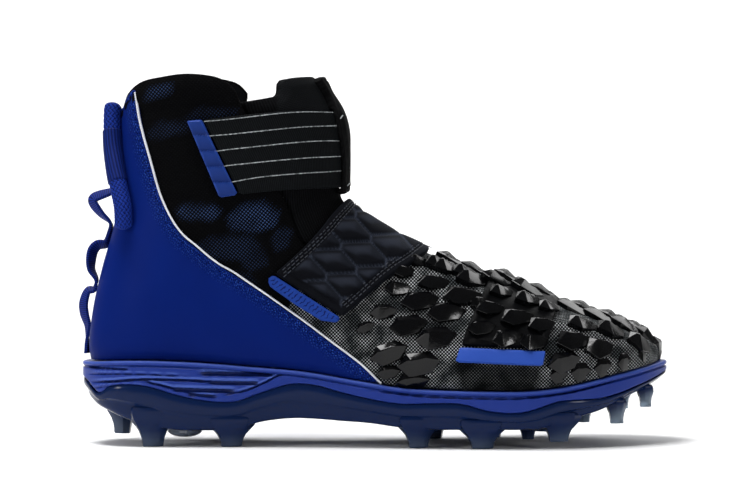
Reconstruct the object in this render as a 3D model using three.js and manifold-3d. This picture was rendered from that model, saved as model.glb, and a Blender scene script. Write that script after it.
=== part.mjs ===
// High-top studded football boot, right foot. Millimetres, +Z up, toe towards +X, outer side towards -Y.
import * as THREE from 'three';
import { mergeVertices } from 'three/addons/utils/BufferGeometryUtils.js';
import Module from 'manifold-3d';

const wasm = await Module();
wasm.setup();

// Driving sizes
const footLength = 299;
const ballWidth = 106;
const heelHeight = 43.2;
const instepHeight = 106.3;
const collarHeight = 187.5;
const clearance = 0.3;
const upperWall = 2;
const linerWall = 4;
const linerReach = 8;
const insoleThickness = 3;
const lastTuck = 8.5;
const quarterThickness = 1.2;
const collarShow = 1.6;
const pipingHeight = 2;
const pipingWidth = 1.7;
const ankleStrapThickness = 2.2;
const shroudThickness = 2.6;
const midfootStrapThickness = 3.4;
const forefootStrapThickness = 1.6;
const tabExtra = 0.9;
const rimHeight = 2.4;
const grooveDepth = 1.2;
const studLength = 11;
const studWidth = 7.5;
const studFlare = 1.75;
const studWaist = 1.28;
const studRoot = 0.38;
const studSides = 7;
const ropeRadius = 4;
const sleeveWall = 0.8;
const ribbonThickness = 2.2;
const ribbonWidth = 8;
const lugHeight = 2.6;
const lugLength = 18;
const lugWidth = 11;
const lugRoot = 1;
const lugRidge = 0.3;

// How finely the last is sampled
const roundSteps = 24;
const farOut = 120;

// A table is a list of rows; the first entry of each row is its key.
function valueAt(rows, column, key) {
  const last = rows.length - 1;
  let at = 0;
  while (at < last - 1 && key > rows[at + 1][0]) at += 1;
  const slope = (i) => {
    const low = Math.max(i - 1, 0);
    const high = Math.min(i + 1, last);
    return (rows[high][column] - rows[low][column]) / (rows[high][0] - rows[low][0]);
  };
  const span = rows[at + 1][0] - rows[at][0];
  const t = THREE.MathUtils.clamp((key - rows[at][0]) / span, 0, 1);
  const start = rows[at][column];
  const end = rows[at + 1][column];
  const rise = t * t * (3 - 2 * t);
  const leave = t * (1 - t) * (1 - t) * slope(at) * span;
  const arrive = t * t * (1 - t) * slope(at + 1) * span;
  return start + (end - start) * rise + leave - arrive;
}

// Sole lines: x as a share of the length, heights as shares of the heel height.
// x, top rim, wave between midsole and outsole, underside of the plate
const soleLines = [
  [0.000, 0.970, 0.800, 0.620],
  [0.012, 0.975, 0.745, 0.560],
  [0.031, 0.985, 0.625, 0.465],
  [0.052, 0.994, 0.705, 0.400],
  [0.085, 1.000, 0.728, 0.310],
  [0.122, 1.001, 0.700, 0.232],
  [0.165, 0.993, 0.612, 0.192],
  [0.206, 0.979, 0.552, 0.190],
  [0.245, 0.960, 0.528, 0.195],
  [0.270, 0.945, 0.545, 0.210],
  [0.306, 0.925, 0.634, 0.288],
  [0.356, 0.898, 0.738, 0.332],
  [0.398, 0.862, 0.728, 0.328],
  [0.440, 0.812, 0.650, 0.307],
  [0.490, 0.755, 0.572, 0.283],
  [0.540, 0.702, 0.522, 0.238],
  [0.590, 0.680, 0.528, 0.216],
  [0.640, 0.670, 0.525, 0.217],
  [0.690, 0.665, 0.440, 0.219],
  [0.739, 0.664, 0.423, 0.218],
  [0.772, 0.676, 0.480, 0.224],
  [0.805, 0.700, 0.552, 0.290],
  [0.840, 0.740, 0.566, 0.358],
  [0.875, 0.790, 0.575, 0.425],
  [0.908, 0.838, 0.622, 0.520],
  [0.935, 0.874, 0.682, 0.600],
  [0.962, 0.912, 0.745, 0.672],
  [0.985, 0.942, 0.806, 0.740],
  [1.000, 0.960, 0.850, 0.790],
];
const topLine = 1;
const waveLine = 2;
const plateLine = 3;

// Outline of the sole: x as a share of the length, edges as shares of the ball width.
// x, outer edge, inner edge
const outline = [
  [0.000, 0.000, 0.000],
  [0.003, 0.080, 0.075],
  [0.012, 0.150, 0.142],
  [0.028, 0.220, 0.208],
  [0.052, 0.282, 0.268],
  [0.085, 0.322, 0.306],
  [0.130, 0.345, 0.326],
  [0.200, 0.354, 0.330],
  [0.300, 0.358, 0.316],
  [0.400, 0.375, 0.298],
  [0.500, 0.415, 0.304],
  [0.600, 0.464, 0.350],
  [0.680, 0.488, 0.420],
  [0.750, 0.484, 0.474],
  [0.810, 0.450, 0.497],
  [0.860, 0.390, 0.494],
  [0.900, 0.315, 0.467],
  [0.940, 0.205, 0.410],
  [0.970, 0.090, 0.345],
  [0.988, -0.010, 0.275],
  [0.997, -0.080, 0.205],
  [1.000, -0.140, 0.140],
];

// The last, a section in each row, fanned from the toe over the instep to the collar.
// row, front x, rise (of the instep), shaft (of the collar above the instep), back x, tuck, back height,
// outer edge, inner edge, ridge, roundness of the crown, roundness of the base, widest level
const lastRows = [
  [0, 0.988, 0.395, 0.000, 0.988, 0.00, 0.000, -0.130, 0.150, 0.140, 2.0, 2.0, 0.50],
  [1, 0.984, 0.448, 0.000, 0.984, 0.60, 0.000, -0.065, 0.210, 0.138, 2.0, 2.0, 0.50],
  [2, 0.976, 0.486, 0.000, 0.976, 0.90, 0.000, 0.015, 0.282, 0.136, 2.0, 2.2, 0.48],
  [3, 0.959, 0.520, 0.000, 0.959, 1.00, 0.000, 0.115, 0.350, 0.132, 2.1, 2.4, 0.46],
  [4, 0.930, 0.551, 0.000, 0.930, 1.00, 0.000, 0.222, 0.408, 0.128, 2.2, 2.6, 0.44],
  [5, 0.882, 0.601, 0.000, 0.886, 1.00, 0.000, 0.338, 0.464, 0.120, 2.2, 2.8, 0.40],
  [6, 0.814, 0.668, 0.000, 0.824, 1.00, 0.000, 0.430, 0.480, 0.105, 2.2, 3.0, 0.36],
  [7, 0.732, 0.752, 0.000, 0.749, 1.00, 0.000, 0.468, 0.454, 0.085, 2.1, 3.0, 0.32],
  [8, 0.652, 0.839, 0.000, 0.671, 1.00, 0.000, 0.464, 0.396, 0.065, 2.0, 3.2, 0.29],
  [9, 0.582, 0.915, 0.000, 0.592, 1.00, 0.000, 0.436, 0.334, 0.045, 1.95, 3.2, 0.27],
  [10, 0.521, 1.000, 0.000, 0.503, 1.00, 0.000, 0.394, 0.292, 0.030, 1.95, 3.2, 0.26],
  [11, 0.473, 1.000, 0.112, 0.401, 1.00, 0.000, 0.360, 0.290, 0.020, 2.0, 3.2, 0.30],
  [12, 0.445, 1.000, 0.213, 0.285, 1.00, 0.000, 0.345, 0.302, 0.012, 2.1, 3.2, 0.36],
  [13, 0.439, 1.000, 0.313, 0.162, 1.00, 0.000, 0.336, 0.312, 0.008, 2.2, 3.2, 0.42],
  [14, 0.439, 1.000, 0.414, 0.050, 1.00, 0.000, 0.333, 0.316, 0.005, 2.2, 2.7, 0.46],
  [15, 0.439, 1.000, 0.527, 0.018, 0.00, 0.020, 0.335, 0.320, 0.003, 2.2, 2.4, 0.50],
  [16, 0.438, 1.000, 0.640, 0.022, 0.00, 0.168, 0.338, 0.326, 0.002, 2.2, 2.2, 0.50],
  [17, 0.430, 1.000, 0.747, 0.038, 0.00, 0.317, 0.342, 0.332, 0.000, 2.2, 2.1, 0.50],
  [18, 0.412, 1.000, 0.860, 0.062, 0.00, 0.504, 0.348, 0.340, 0.000, 2.2, 2.1, 0.50],
  [19, 0.396, 1.000, 0.992, 0.070, 0.00, 0.734, 0.352, 0.344, 0.000, 2.2, 2.1, 0.50],
  [20, 0.388, 1.000, 1.142, 0.071, 0.00, 1.066, 0.354, 0.346, 0.000, 2.2, 2.1, 0.50],
];

function soleHeight(line, x) {
  return heelHeight * valueAt(soleLines, line, x / footLength);
}

function solidOf(geometry) {
  geometry.deleteAttribute('normal');
  geometry.deleteAttribute('uv');
  const merged = mergeVertices(geometry, 1e-4);
  const mesh = new wasm.Mesh({
    numProp: 3,
    vertProperties: new Float32Array(merged.getAttribute('position').array),
    triVerts: new Uint32Array(merged.getIndex().array),
  });
  return new wasm.Manifold(mesh);
}

// A closed skin through rings of points, with a fan over the first ring and one over the last.
function skinOf(rings) {
  const around = rings[0].length;
  const corners = rings.flat().flatMap((point) => point.toArray());
  const faces = [];
  for (let ring = 0; ring + 1 < rings.length; ring += 1) {
    for (let step = 0; step < around; step += 1) {
      const next = (step + 1) % around;
      const a = ring * around + step;
      const b = ring * around + next;
      const c = a + around;
      const d = b + around;
      faces.push(a, b, c, b, d, c);
    }
  }
  for (const ring of [0, rings.length - 1]) {
    const centre = rings[ring].reduce((sum, point) => sum.add(point), new THREE.Vector3()).divideScalar(around);
    const hub = corners.length / 3;
    corners.push(...centre.toArray());
    for (let step = 0; step < around; step += 1) {
      const a = ring * around + step;
      const b = ring * around + ((step + 1) % around);
      if (ring === 0) faces.push(hub, b, a);
      else faces.push(hub, a, b);
    }
  }
  const geometry = new THREE.BufferGeometry();
  geometry.setAttribute('position', new THREE.Float32BufferAttribute(corners, 3));
  geometry.setIndex(faces);
  return geometry;
}

// A point of the last: row picks the section, angle runs from its front over the inner side to its back.
function lastPoint(row, angle) {
  const value = (column) => valueAt(lastRows, column, row);
  const backX = value(4) * footLength;
  const frontX = value(1) * footLength;
  const frontZ = instepHeight * value(2) + (collarHeight - instepHeight) * value(3);
  const backZ = soleHeight(topLine, backX) - lastTuck * value(5) + (collarHeight - heelHeight) * value(6);
  const widest = value(12);
  const turn = Math.cos(angle);
  const roundness = turn > 0 ? value(10) : value(11);
  const reach = Math.abs(turn) ** (2 / roundness);
  const along = turn > 0 ? widest + (1 - widest) * reach : widest * (1 - reach);
  const side = Math.sign(Math.sin(angle)) * Math.abs(Math.sin(angle)) ** (2 / roundness);
  const half = (value(7) + value(8)) / 2;
  const centre = (value(8) - value(7)) / 2;
  const lift = Math.max(0, (along - widest) / (1 - widest));
  const middle = centre + (value(9) - centre) * lift * lift;
  return new THREE.Vector3(
    backX + (frontX - backX) * along,
    ballWidth * (middle + half * side),
    backZ + (frontZ - backZ) * along,
  );
}

const lastGrid = lastRows.map(([row]) => {
  const ring = [];
  for (let step = 0; step < roundSteps; step += 1) ring.push(lastPoint(row, (step / roundSteps) * 2 * Math.PI));
  return ring;
});

const lastNormals = lastGrid.map((ring, row) => ring.map((point, step) => {
  if (row === 0) return new THREE.Vector3(1, 0, 0);
  const before = lastGrid[row - 1][step];
  const after = lastGrid[Math.min(row + 1, lastGrid.length - 1)][step];
  const left = ring[(step + roundSteps - 1) % roundSteps];
  const right = ring[(step + 1) % roundSteps];
  const round = right.clone().sub(left);
  return round.cross(after.clone().sub(before)).normalize();
}));

// The last grown outwards by an offset, or shrunk where it is below nought.
function lastAt(offset) {
  const rings = lastGrid.map((ring, row) => ring.map((point, step) => (
    point.clone().addScaledVector(lastNormals[row][step], offset)
  )));
  return solidOf(skinOf(rings));
}

// A point on the last between its samples, lifted off it.
function onLast(row, turn, lift) {
  const low = Math.min(Math.floor(row), lastGrid.length - 2);
  const step = ((turn / (2 * Math.PI)) * roundSteps + roundSteps) % roundSteps;
  const left = Math.floor(step);
  const mix = (grid) => {
    const corner = (r, s) => grid[r][s % roundSteps];
    const first = corner(low, left).clone().lerp(corner(low, left + 1), step - left);
    const second = corner(low + 1, left).clone().lerp(corner(low + 1, left + 1), step - left);
    return first.lerp(second, row - low);
  };
  return mix(lastGrid).addScaledVector(mix(lastNormals).normalize(), lift);
}

// A prism through the boot with the given outline in side view.
function sidePrism(points, fromY, toY) {
  const shape = new THREE.Shape(points.map(([x, z]) => new THREE.Vector2(x, z)));
  const geometry = new THREE.ExtrudeGeometry(shape, { depth: toY - fromY, bevelEnabled: false });
  geometry.rotateX(Math.PI / 2);
  geometry.translate(0, toY, 0);
  return solidOf(geometry);
}

// Shares of length and collar height made into millimetres, with a spline through them if smooth.
function sideLine(shares, smooth = 0) {
  const points = shares.map(([x, z]) => new THREE.Vector2(x * footLength, z * collarHeight));
  const line = smooth > 0 ? new THREE.SplineCurve(points).getPoints(smooth) : points;
  return line.map((point) => [point.x, point.y]);
}

// A line in side view moved sideways, to the left of its run if positive.
function shifted(line, distance) {
  return line.map(([x, z], i) => {
    const [ax, az] = line[Math.max(i - 1, 0)];
    const [bx, bz] = line[Math.min(i + 1, line.length - 1)];
    const size = Math.hypot(bx - ax, bz - az);
    return [x - ((bz - az) / size) * distance, z + ((bx - ax) / size) * distance];
  });
}

function between(line, inner, outer) {
  return [...shifted(line, outer), ...shifted(line, inner).reverse()];
}

// Everything above the rim of the sole, raised by a gap.
function aboveSole(gap) {
  const rim = soleLines.map(([x]) => [x * footLength, soleHeight(topLine, x * footLength) + gap]);
  const top = collarHeight * 1.3;
  const start = [-farOut, rim[0][1]];
  const end = [footLength + farOut, rim.at(-1)[1]];
  return sidePrism([start, ...rim, end, [footLength + farOut, top], [-farOut, top]], -farOut, farOut);
}

function soleBand(low, high) {
  const line = (gap) => soleLines.map(([x]) => [x * footLength, soleHeight(topLine, x * footLength) + gap]);
  return sidePrism([...line(low), ...line(high).reverse()], -farOut, farOut);
}

// Sole pieces: rings of the outline, each inset and set to its own height line.
const outlineStations = outline.flatMap(([x], i) => {
  if (i + 1 === outline.length) return [x];
  const gap = outline[i + 1][0] - x;
  const parts = Math.ceil(gap / 0.055);
  return Array.from({ length: parts }, (unused, part) => x + (gap * part) / parts);
});

function outlineRing(inset, height) {
  const outer = outlineStations.slice(1, -1).map((x) => [x * footLength, -ballWidth * valueAt(outline, 1, x)]);
  const inner = outlineStations.slice(1, -1).map((x) => [x * footLength, ballWidth * valueAt(outline, 2, x)]);
  const heel = [0, 0];
  const toe = [footLength, ballWidth * outline.at(-1)[2]];
  const loop = [heel, ...outer, toe, ...inner.reverse()];
  return loop.map(([x, y], i) => {
    const [ax, ay] = loop[(i + loop.length - 1) % loop.length];
    const [bx, by] = loop[(i + 1) % loop.length];
    const size = Math.hypot(bx - ax, by - ay);
    const px = x - ((by - ay) / size) * inset;
    const py = y + ((bx - ax) / size) * inset;
    return new THREE.Vector3(px, py, height(px));
  });
}

// Rings closed by strips across the sole, from its outer edge to the point opposite.
function soleSkin(rings) {
  const around = rings[0].length;
  const corners = rings.flat().flatMap((point) => point.toArray());
  const faces = [];
  for (let ring = 0; ring + 1 < rings.length; ring += 1) {
    for (let step = 0; step < around; step += 1) {
      const a = ring * around + step;
      const b = ring * around + ((step + 1) % around);
      faces.push(a, b, a + around, b, b + around, a + around);
    }
  }
  const strip = (base, flip) => {
    for (let step = 0; step < around / 2; step += 1) {
      const a = base + step;
      const b = base + step + 1;
      const c = base + ((around - step) % around);
      const d = base + around - step - 1;
      const triangles = [[a, b, c], [b, d, c]].filter(([p, q, r]) => p !== q && q !== r && p !== r);
      for (const [p, q, r] of triangles) faces.push(...(flip ? [p, r, q] : [p, q, r]));
    }
  };
  strip(0, true);
  strip((rings.length - 1) * around, false);
  const geometry = new THREE.BufferGeometry();
  geometry.setAttribute('position', new THREE.Float32BufferAttribute(corners, 3));
  geometry.setIndex(faces);
  return geometry;
}

// Side of the plate from its underside up: inset, height as a share of the plate's
const plateSteps = [
  [5.5, 0.00],
  [3.2, 0.10],
  [2.2, 0.46],
  [0.7, 0.52],
  [0.2, 0.90],
  [0.9, 1.00],
];

function outsolePlate() {
  const wave = (x) => soleHeight(waveLine, x) - clearance;
  const plate = (x) => soleHeight(plateLine, x);
  const mix = (x, share) => plate(x) + (wave(x) - plate(x)) * share;
  return solidOf(soleSkin(plateSteps.map(([inset, share]) => outlineRing(inset, (x) => mix(x, share)))));
}

// Studs: x as a share of the length, side (-1 outer, 1 inner), inset of the ball width from the edge,
// length and width as shares of the stud's, lift of the tip as a share of the heel height
const studs = [
  [0.123, -1, 0.085, 1.05, 1.05, 0.000],
  [0.255, -1, 0.085, 1.05, 1.00, 0.000],
  [0.064, 1, 0.075, 0.85, 1.00, 0.070],
  [0.250, 1, 0.085, 1.05, 1.00, 0.000],
  [0.569, -1, 0.095, 0.95, 1.05, 0.000],
  [0.675, -1, 0.085, 1.10, 1.10, 0.000],
  [0.803, -1, 0.085, 0.95, 1.00, 0.075],
  [0.904, -1, 0.080, 0.70, 0.80, 0.262],
  [0.957, -1, 0.075, 0.60, 0.70, 0.430],
  [0.600, 1, 0.080, 1.00, 1.05, 0.000],
  [0.702, 1, 0.095, 1.05, 1.10, 0.000],
  [0.790, 1, 0.095, 0.90, 0.95, 0.060],
  [0.862, 1, 0.090, 0.80, 0.85, 0.170],
  [0.930, 1, 0.080, 0.65, 0.75, 0.345],
  [0.757, -1, 0.400, 0.60, 0.80, 0.050],
];

function stud([x, side, inset, long, wide, lift]) {
  const edge = side * ballWidth * (valueAt(outline, side < 0 ? 1 : 2, x) - inset);
  const tip = heelHeight * lift;
  const root = soleHeight(plateLine, x * footLength);
  const top = root + (soleHeight(waveLine, x * footLength) - root) * studRoot;
  const drop = top - tip;
  const profile = [
    [0, 0],
    [1, 0],
    [studWaist, 0.5],
    [studFlare, 1],
    [0, 1],
  ].map(([r, h]) => new THREE.Vector2(r, h * drop));
  const geometry = new THREE.LatheGeometry(profile, studSides, Math.PI / studSides);
  geometry.rotateX(Math.PI / 2);
  geometry.scale((studLength * long) / 2, (studWidth * wide) / 2, 1);
  geometry.translate(x * footLength, edge, tip);
  return solidOf(geometry);
}

// Lens under the heel: its middle and half length along the boot, half width and depth
const heelLens = {
  x: footLength * 0.175,
  length: footLength * 0.03,
  width: ballWidth * 0.09,
  depth: heelHeight * 0.07,
};

function heelBoss() {
  const geometry = new THREE.SphereGeometry(1, 10, 6);
  geometry.scale(heelLens.length, heelLens.width, heelLens.depth);
  geometry.translate(heelLens.x, 0, soleHeight(plateLine, heelLens.x));
  return solidOf(geometry);
}

function outsole() {
  let solid = outsolePlate().add(heelBoss());
  for (const row of studs) solid = solid.add(stud(row));
  return solid;
}

// Grooves in the side of the midsole: from x and height to x and height, of length and heel height, and width
const sideGrooves = [
  [0.205, 0.890, 0.320, 0.850, 1.0],
  [0.212, 0.800, 0.300, 0.765, 1.0],
  [0.225, 0.700, 0.276, 0.690, 1.0],
  [0.110, 0.790, 0.215, 0.650, 0.9],
  [0.000, 0.905, 0.060, 0.915, 0.8],
  [0.270, 0.600, 0.372, 0.800, 0.9],
];

// Side of the midsole below its rim: inset, height as a share of the foam's
const foamSteps = [
  [0.9, 0.00],
  [0.1, 0.25],
  [0.0, 0.70],
  [0.2, 1.00],
];
// Its rim: inset, height as a share of the rim's
const rimSteps = [
  [1.0, 0.00],
  [0.0, 0.20],
  [0.5, 1.00],
];
const rimGap = 0.5;

// The midsole, or what is left of it inside an inset.
function foamBody(shrink) {
  const bottom = (x) => soleHeight(waveLine, x);
  const rim = (x) => soleHeight(topLine, x) - rimHeight;
  const foam = (share) => (x) => bottom(x) + (rim(x) - rimGap - bottom(x)) * share;
  return solidOf(soleSkin([
    ...foamSteps.map(([inset, share]) => outlineRing(inset + shrink, foam(share))),
    ...rimSteps.map(([inset, share]) => outlineRing(inset + shrink, (x) => rim(x) + rimHeight * share)),
  ]));
}

function midsole() {
  const body = foamBody(0);
  const core = foamBody(grooveDepth);
  let cut = null;
  for (const [x0, z0, x1, z1, width] of sideGrooves) {
    const line = [[x0 * footLength, z0 * heelHeight], [x1 * footLength, z1 * heelHeight]];
    const groove = sidePrism(between(line, -width / 2, width / 2), -farOut, farOut);
    cut = cut ? cut.add(groove) : groove;
  }
  return body.subtract(cut.subtract(core));
}

// Lines in side view, as shares of length and collar height
const collarOuter = [
  [0.052, 0.915], [0.071, 0.919], [0.081, 0.951], [0.105, 0.978], [0.138, 0.989], [0.177, 0.997], [0.214, 0.994],
  [0.242, 0.983], [0.263, 0.957], [0.274, 0.919],
];
const collarInner = [
  [0.052, 0.915], [0.071, 0.919], [0.081, 0.951], [0.105, 0.978], [0.138, 0.990], [0.177, 0.998], [0.214, 0.996],
  [0.242, 0.990], [0.263, 0.978], [0.280, 0.950],
];
const throatEdge = [
  [0.274, 0.919], [0.293, 0.847], [0.319, 0.754], [0.348, 0.660], [0.373, 0.554], [0.403, 0.527], [0.448, 0.527],
  [0.520, 0.560],
];
const tongueTop = [
  [0.225, 0.909], [0.274, 0.921], [0.321, 0.934], [0.339, 0.944], [0.344, 0.977], [0.360, 0.988], [0.409, 0.999],
];
const quarterEdge = [
  [0.097, 0.960], [0.107, 0.866], [0.124, 0.767], [0.144, 0.660], [0.172, 0.580], [0.206, 0.530], [0.239, 0.490],
  [0.289, 0.439], [0.373, 0.346], [0.423, 0.287], [0.473, 0.228], [0.503, 0.185], [0.530, 0.145],
];

function aboveCollar(line) {
  const points = sideLine(line, 15);
  const front = farOut * 1.2;
  const sky = collarHeight * 1.4;
  return [...points, [front, points.at(-1)[1]], [front, sky], [-farOut, sky], [-farOut, points[0][1]]];
}

// The opening over the instep and down the front of the ankle, with its edge moved by a margin.
function throatPrism(margin) {
  const edge = shifted(sideLine(throatEdge, 12), margin);
  const front = [[footLength * 0.7, edge.at(-1)[1]], [footLength * 0.7, collarHeight * 1.4]];
  return sidePrism([[edge[0][0], collarHeight * 1.4], ...edge, ...front], -farOut, farOut);
}

// Raised lugs: x as a share of the length, height as a share of the collar's, 1 if on both sides or 0 if on
// the ridge, size. The side gives where a lug shows in side view.
const vampLugs = [
  [0.626, 0.490, 0, 0.87], [0.671, 0.460, 0, 0.93], [0.618, 0.475, 1, 1.07], [0.660, 0.443, 1, 1.07],
  [0.595, 0.435, 1, 0.93], [0.643, 0.401, 1, 1.13], [0.582, 0.387, 1, 0.93], [0.621, 0.353, 1, 1.13],
  [0.558, 0.326, 1, 0.93], [0.608, 0.289, 1, 1.00], [0.580, 0.249, 1, 1.00], [0.600, 0.191, 1, 0.87],
  [0.858, 0.354, 0, 0.93], [0.906, 0.335, 0, 0.87], [0.954, 0.316, 0, 0.80], [0.841, 0.326, 1, 1.07],
  [0.894, 0.308, 1, 1.00], [0.833, 0.281, 1, 1.10], [0.939, 0.276, 1, 1.05], [0.883, 0.260, 1, 1.13],
  [0.823, 0.228, 1, 1.00], [0.860, 0.205, 1, 0.90], [0.916, 0.231, 1, 0.90],
];
const strapLugs = [
  [0.722, 0.433, 0, 0.80], [0.781, 0.403, 0, 0.87], [0.704, 0.398, 1, 0.87], [0.751, 0.382, 1, 0.93],
  [0.694, 0.353, 1, 0.87], [0.738, 0.334, 1, 0.93], [0.784, 0.355, 1, 0.73], [0.774, 0.310, 1, 0.87],
  [0.686, 0.305, 1, 0.90], [0.725, 0.288, 1, 0.93],
];

// The row and turn at which the last shows a given place in side view.
function findOnLast(x, z, side) {
  let best = { miss: Infinity, row: 0, turn: 0 };
  let reach = { row: 7, turn: side === 0 ? 0 : 0.55 * Math.PI, rowSpan: 7, turnSpan: side === 0 ? 0 : 0.5 * Math.PI };
  for (let pass = 0; pass < 5; pass += 1) {
    for (let i = -8; i <= 8; i += 1) {
      for (let j = -8; j <= 8; j += 1) {
        const row = THREE.MathUtils.clamp(reach.row + (reach.rowSpan * i) / 8, 0, 14);
        const turn = Math.max(0, reach.turn + (reach.turnSpan * j) / 8);
        const point = onLast(row, side * turn, 0);
        const miss = Math.hypot(point.x - x, side === 0 ? 0 : point.z - z);
        if (miss < best.miss) best = { miss, row, turn };
      }
    }
    reach = { row: best.row, turn: best.turn, rowSpan: reach.rowSpan / 4, turnSpan: reach.turnSpan / 4 };
  }
  return best;
}

function lug(row, turn, size, seat) {
  const middle = onLast(row, turn, seat);
  const up = onLast(row, turn, seat + 1).sub(middle).normalize();
  const along = onLast(Math.max(row - 0.3, 0), turn, seat).sub(onLast(row + 0.3, turn, seat)).normalize();
  const across = up.clone().cross(along).normalize();
  const run = across.clone().cross(up);
  const at = (x, y, level) => middle.clone()
    .addScaledVector(run, (x * lugLength * size) / 2)
    .addScaledVector(across, (y * lugWidth * size) / 2)
    .addScaledVector(up, level);
  const edge = [0, 1, 2, 3, 4, 5].map((step) => [Math.cos((step * Math.PI) / 3), Math.sin((step * Math.PI) / 3)]);
  const corners = [
    ...edge.map(([x, y]) => at(x, y, -lugRoot)),
    at(lugRidge, 0, lugHeight * size),
    at(-lugRidge, 0, lugHeight * size),
  ];
  const slopes = [0, 1, 6, 1, 2, 7, 1, 7, 6, 2, 3, 7, 3, 4, 7, 4, 5, 6, 4, 6, 7, 5, 0, 6];
  const foot = [0, 2, 1, 0, 3, 2, 0, 4, 3, 0, 5, 4];
  const geometry = new THREE.BufferGeometry();
  geometry.setAttribute('position', new THREE.Float32BufferAttribute(corners.flatMap((c) => c.toArray()), 3));
  geometry.setIndex([...slopes, ...foot]);
  return solidOf(geometry);
}

function lugs(table, seat) {
  let field = null;
  for (const [x, z, both, size] of table) {
    for (const side of both ? [-1, 1] : [0]) {
      const place = findOnLast(x * footLength, z * collarHeight, side);
      const piece = lug(place.row, side * place.turn, size, seat);
      field = field ? field.add(piece) : piece;
    }
  }
  return field;
}

function upperBody(offset) {
  const outerCut = sidePrism(aboveCollar(collarOuter), -farOut, 0);
  const innerCut = sidePrism(aboveCollar(collarInner), -0.01, farOut);
  return lastAt(offset).subtract(outerCut.add(innerCut));
}

// The vamp's lugs, kept clear of what is strapped over them.
function vampField() {
  const straps = [
    sidePrism(forefootOutline(clearance * 2, -1), -farOut, 0.01),
    sidePrism(forefootOutline(clearance * 2, 1), 0, farOut),
    sidePrism(midfootOutline(clearance * 2, -1), -farOut, 0.01),
    sidePrism(midfootOutline(clearance * 2, 1), 0, farOut),
    sidePrism(sideLine(foreTabKeepOut), -farOut, 0),
  ];
  return straps.reduce((field, strap) => field.subtract(strap), lugs(vampLugs, 0));
}

function upper() {
  const body = upperBody(0).add(vampField());
  const wall = body.subtract(lastAt(-upperWall)).subtract(throatPrism(0));
  return wall.intersect(aboveSole(clearance));
}

function insole() {
  return lastAt(-upperWall - clearance).intersect(soleBand(clearance, clearance + insoleThickness));
}

// Tongue and gusset: a liner tucked behind the upper's edges, flush with the upper inside the opening.
function tongue() {
  const inside = lastAt(-upperWall - clearance - linerWall);
  const tucked = lastAt(-upperWall - clearance).subtract(inside).intersect(throatPrism(-linerReach));
  const flush = lastAt(-clearance).subtract(inside);
  const filled = flush.intersect(throatPrism(clearance));
  const points = sideLine(tongueTop, 11);
  const far = [[footLength, points.at(-1)[1]], [footLength, collarHeight * 1.4], [0, collarHeight * 1.4]];
  const above = sidePrism([...points, ...far, [0, points[0][1]]], -farOut, farOut);
  return filled.add(tucked).subtract(above);
}

// An overlay between two offsets of the last, cut to an outline in side view on each side.
function overlay(low, high, outerOutline, innerOutline) {
  const region = sidePrism(outerOutline, -farOut, 0.01).add(sidePrism(innerOutline, 0, farOut));
  return lastAt(high).subtract(lastAt(low)).intersect(region);
}

function behindQuarter(margin) {
  const edge = shifted(sideLine(quarterEdge, 18), margin);
  const behind = sideLine(collarOuter, 15).filter(([x]) => x < edge[0][0] - 1);
  const collar = behind.map(([x, z]) => [x, z - collarShow]);
  const corners = [[edge.at(-1)[0], 0], [-farOut, 0], [-farOut, collar[0][1]]];
  return [...collar, ...edge, ...corners];
}

function heelQuarter() {
  const region = behindQuarter(-pipingWidth / 2 - clearance);
  const body = overlay(clearance, clearance + quarterThickness, region, region);
  return body.intersect(aboveSole(clearance));
}

function quarterPiping(side) {
  const line = between(sideLine(quarterEdge, 18), -pipingWidth / 2, pipingWidth / 2);
  const region = side < 0 ? sidePrism(line, -farOut, 0) : sidePrism(line, 0, farOut);
  return lastAt(clearance + pipingHeight).subtract(lastAt(clearance)).intersect(region)
    .intersect(aboveSole(clearance));
}

// Ankle strap: outlines as shares of length and collar height
const ankleTop = [[0.212, 0.874], [0.298, 0.890], [0.373, 0.900], [0.470, 0.893]];
const ankleBottom = [[0.273, 0.674], [0.314, 0.682], [0.356, 0.687], [0.470, 0.696]];
const ankleTabOutline = [[0.184, 0.871], [0.209, 0.874], [0.270, 0.674], [0.239, 0.666]];
const shroudEdge = [
  [0.404, 0.992], [0.421, 0.951], [0.434, 0.897], [0.442, 0.840], [0.447, 0.781], [0.447, 0.695], [0.443, 0.670],
];
const shroudTop = [[0.520, 0.960], [0.428, 0.978], [0.414, 0.996]];
const shroudHem = [[0.456, 0.682], [0.474, 0.712], [0.520, 0.760]];

function ankleOutline(margin) {
  const top = shifted(sideLine(ankleTop, 5), margin);
  const bottom = shifted(sideLine(ankleBottom, 5), -margin);
  return [...top, ...bottom.reverse()];
}

function ankleStrap() {
  return overlay(clearance, clearance + ankleStrapThickness, ankleOutline(0), ankleOutline(0));
}

function ankleStrapTab() {
  const region = sideLine(ankleTabOutline);
  return lastAt(clearance + ankleStrapThickness + tabExtra).subtract(lastAt(clearance))
    .intersect(sidePrism(region, -farOut, 0));
}

function frontShroud() {
  const edge = sideLine(shroudEdge, 9);
  const hem = sideLine(shroudHem);
  const region = [...edge, ...hem, ...sideLine(shroudTop)];
  const high = ankleStrapThickness + shroudThickness + 2 * clearance;
  const body = overlay(clearance, high, region, region);
  const under = lastAt(ankleStrapThickness + 2 * clearance).intersect(
    sidePrism(ankleOutline(clearance), -farOut, farOut));
  return body.subtract(under);
}

// Midfoot strap
const midBack = [[0.470, 0.690], [0.431, 0.625], [0.409, 0.583], [0.381, 0.537], [0.356, 0.500], [0.331, 0.465]];
const midFront = [[0.600, 0.540], [0.560, 0.495], [0.532, 0.468], [0.507, 0.439], [0.482, 0.404], [0.443, 0.351]];
const midTabOutline = [
  [0.329, 0.461], [0.319, 0.450], [0.323, 0.431], [0.365, 0.383], [0.408, 0.341], [0.432, 0.336], [0.442, 0.347],
];

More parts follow.
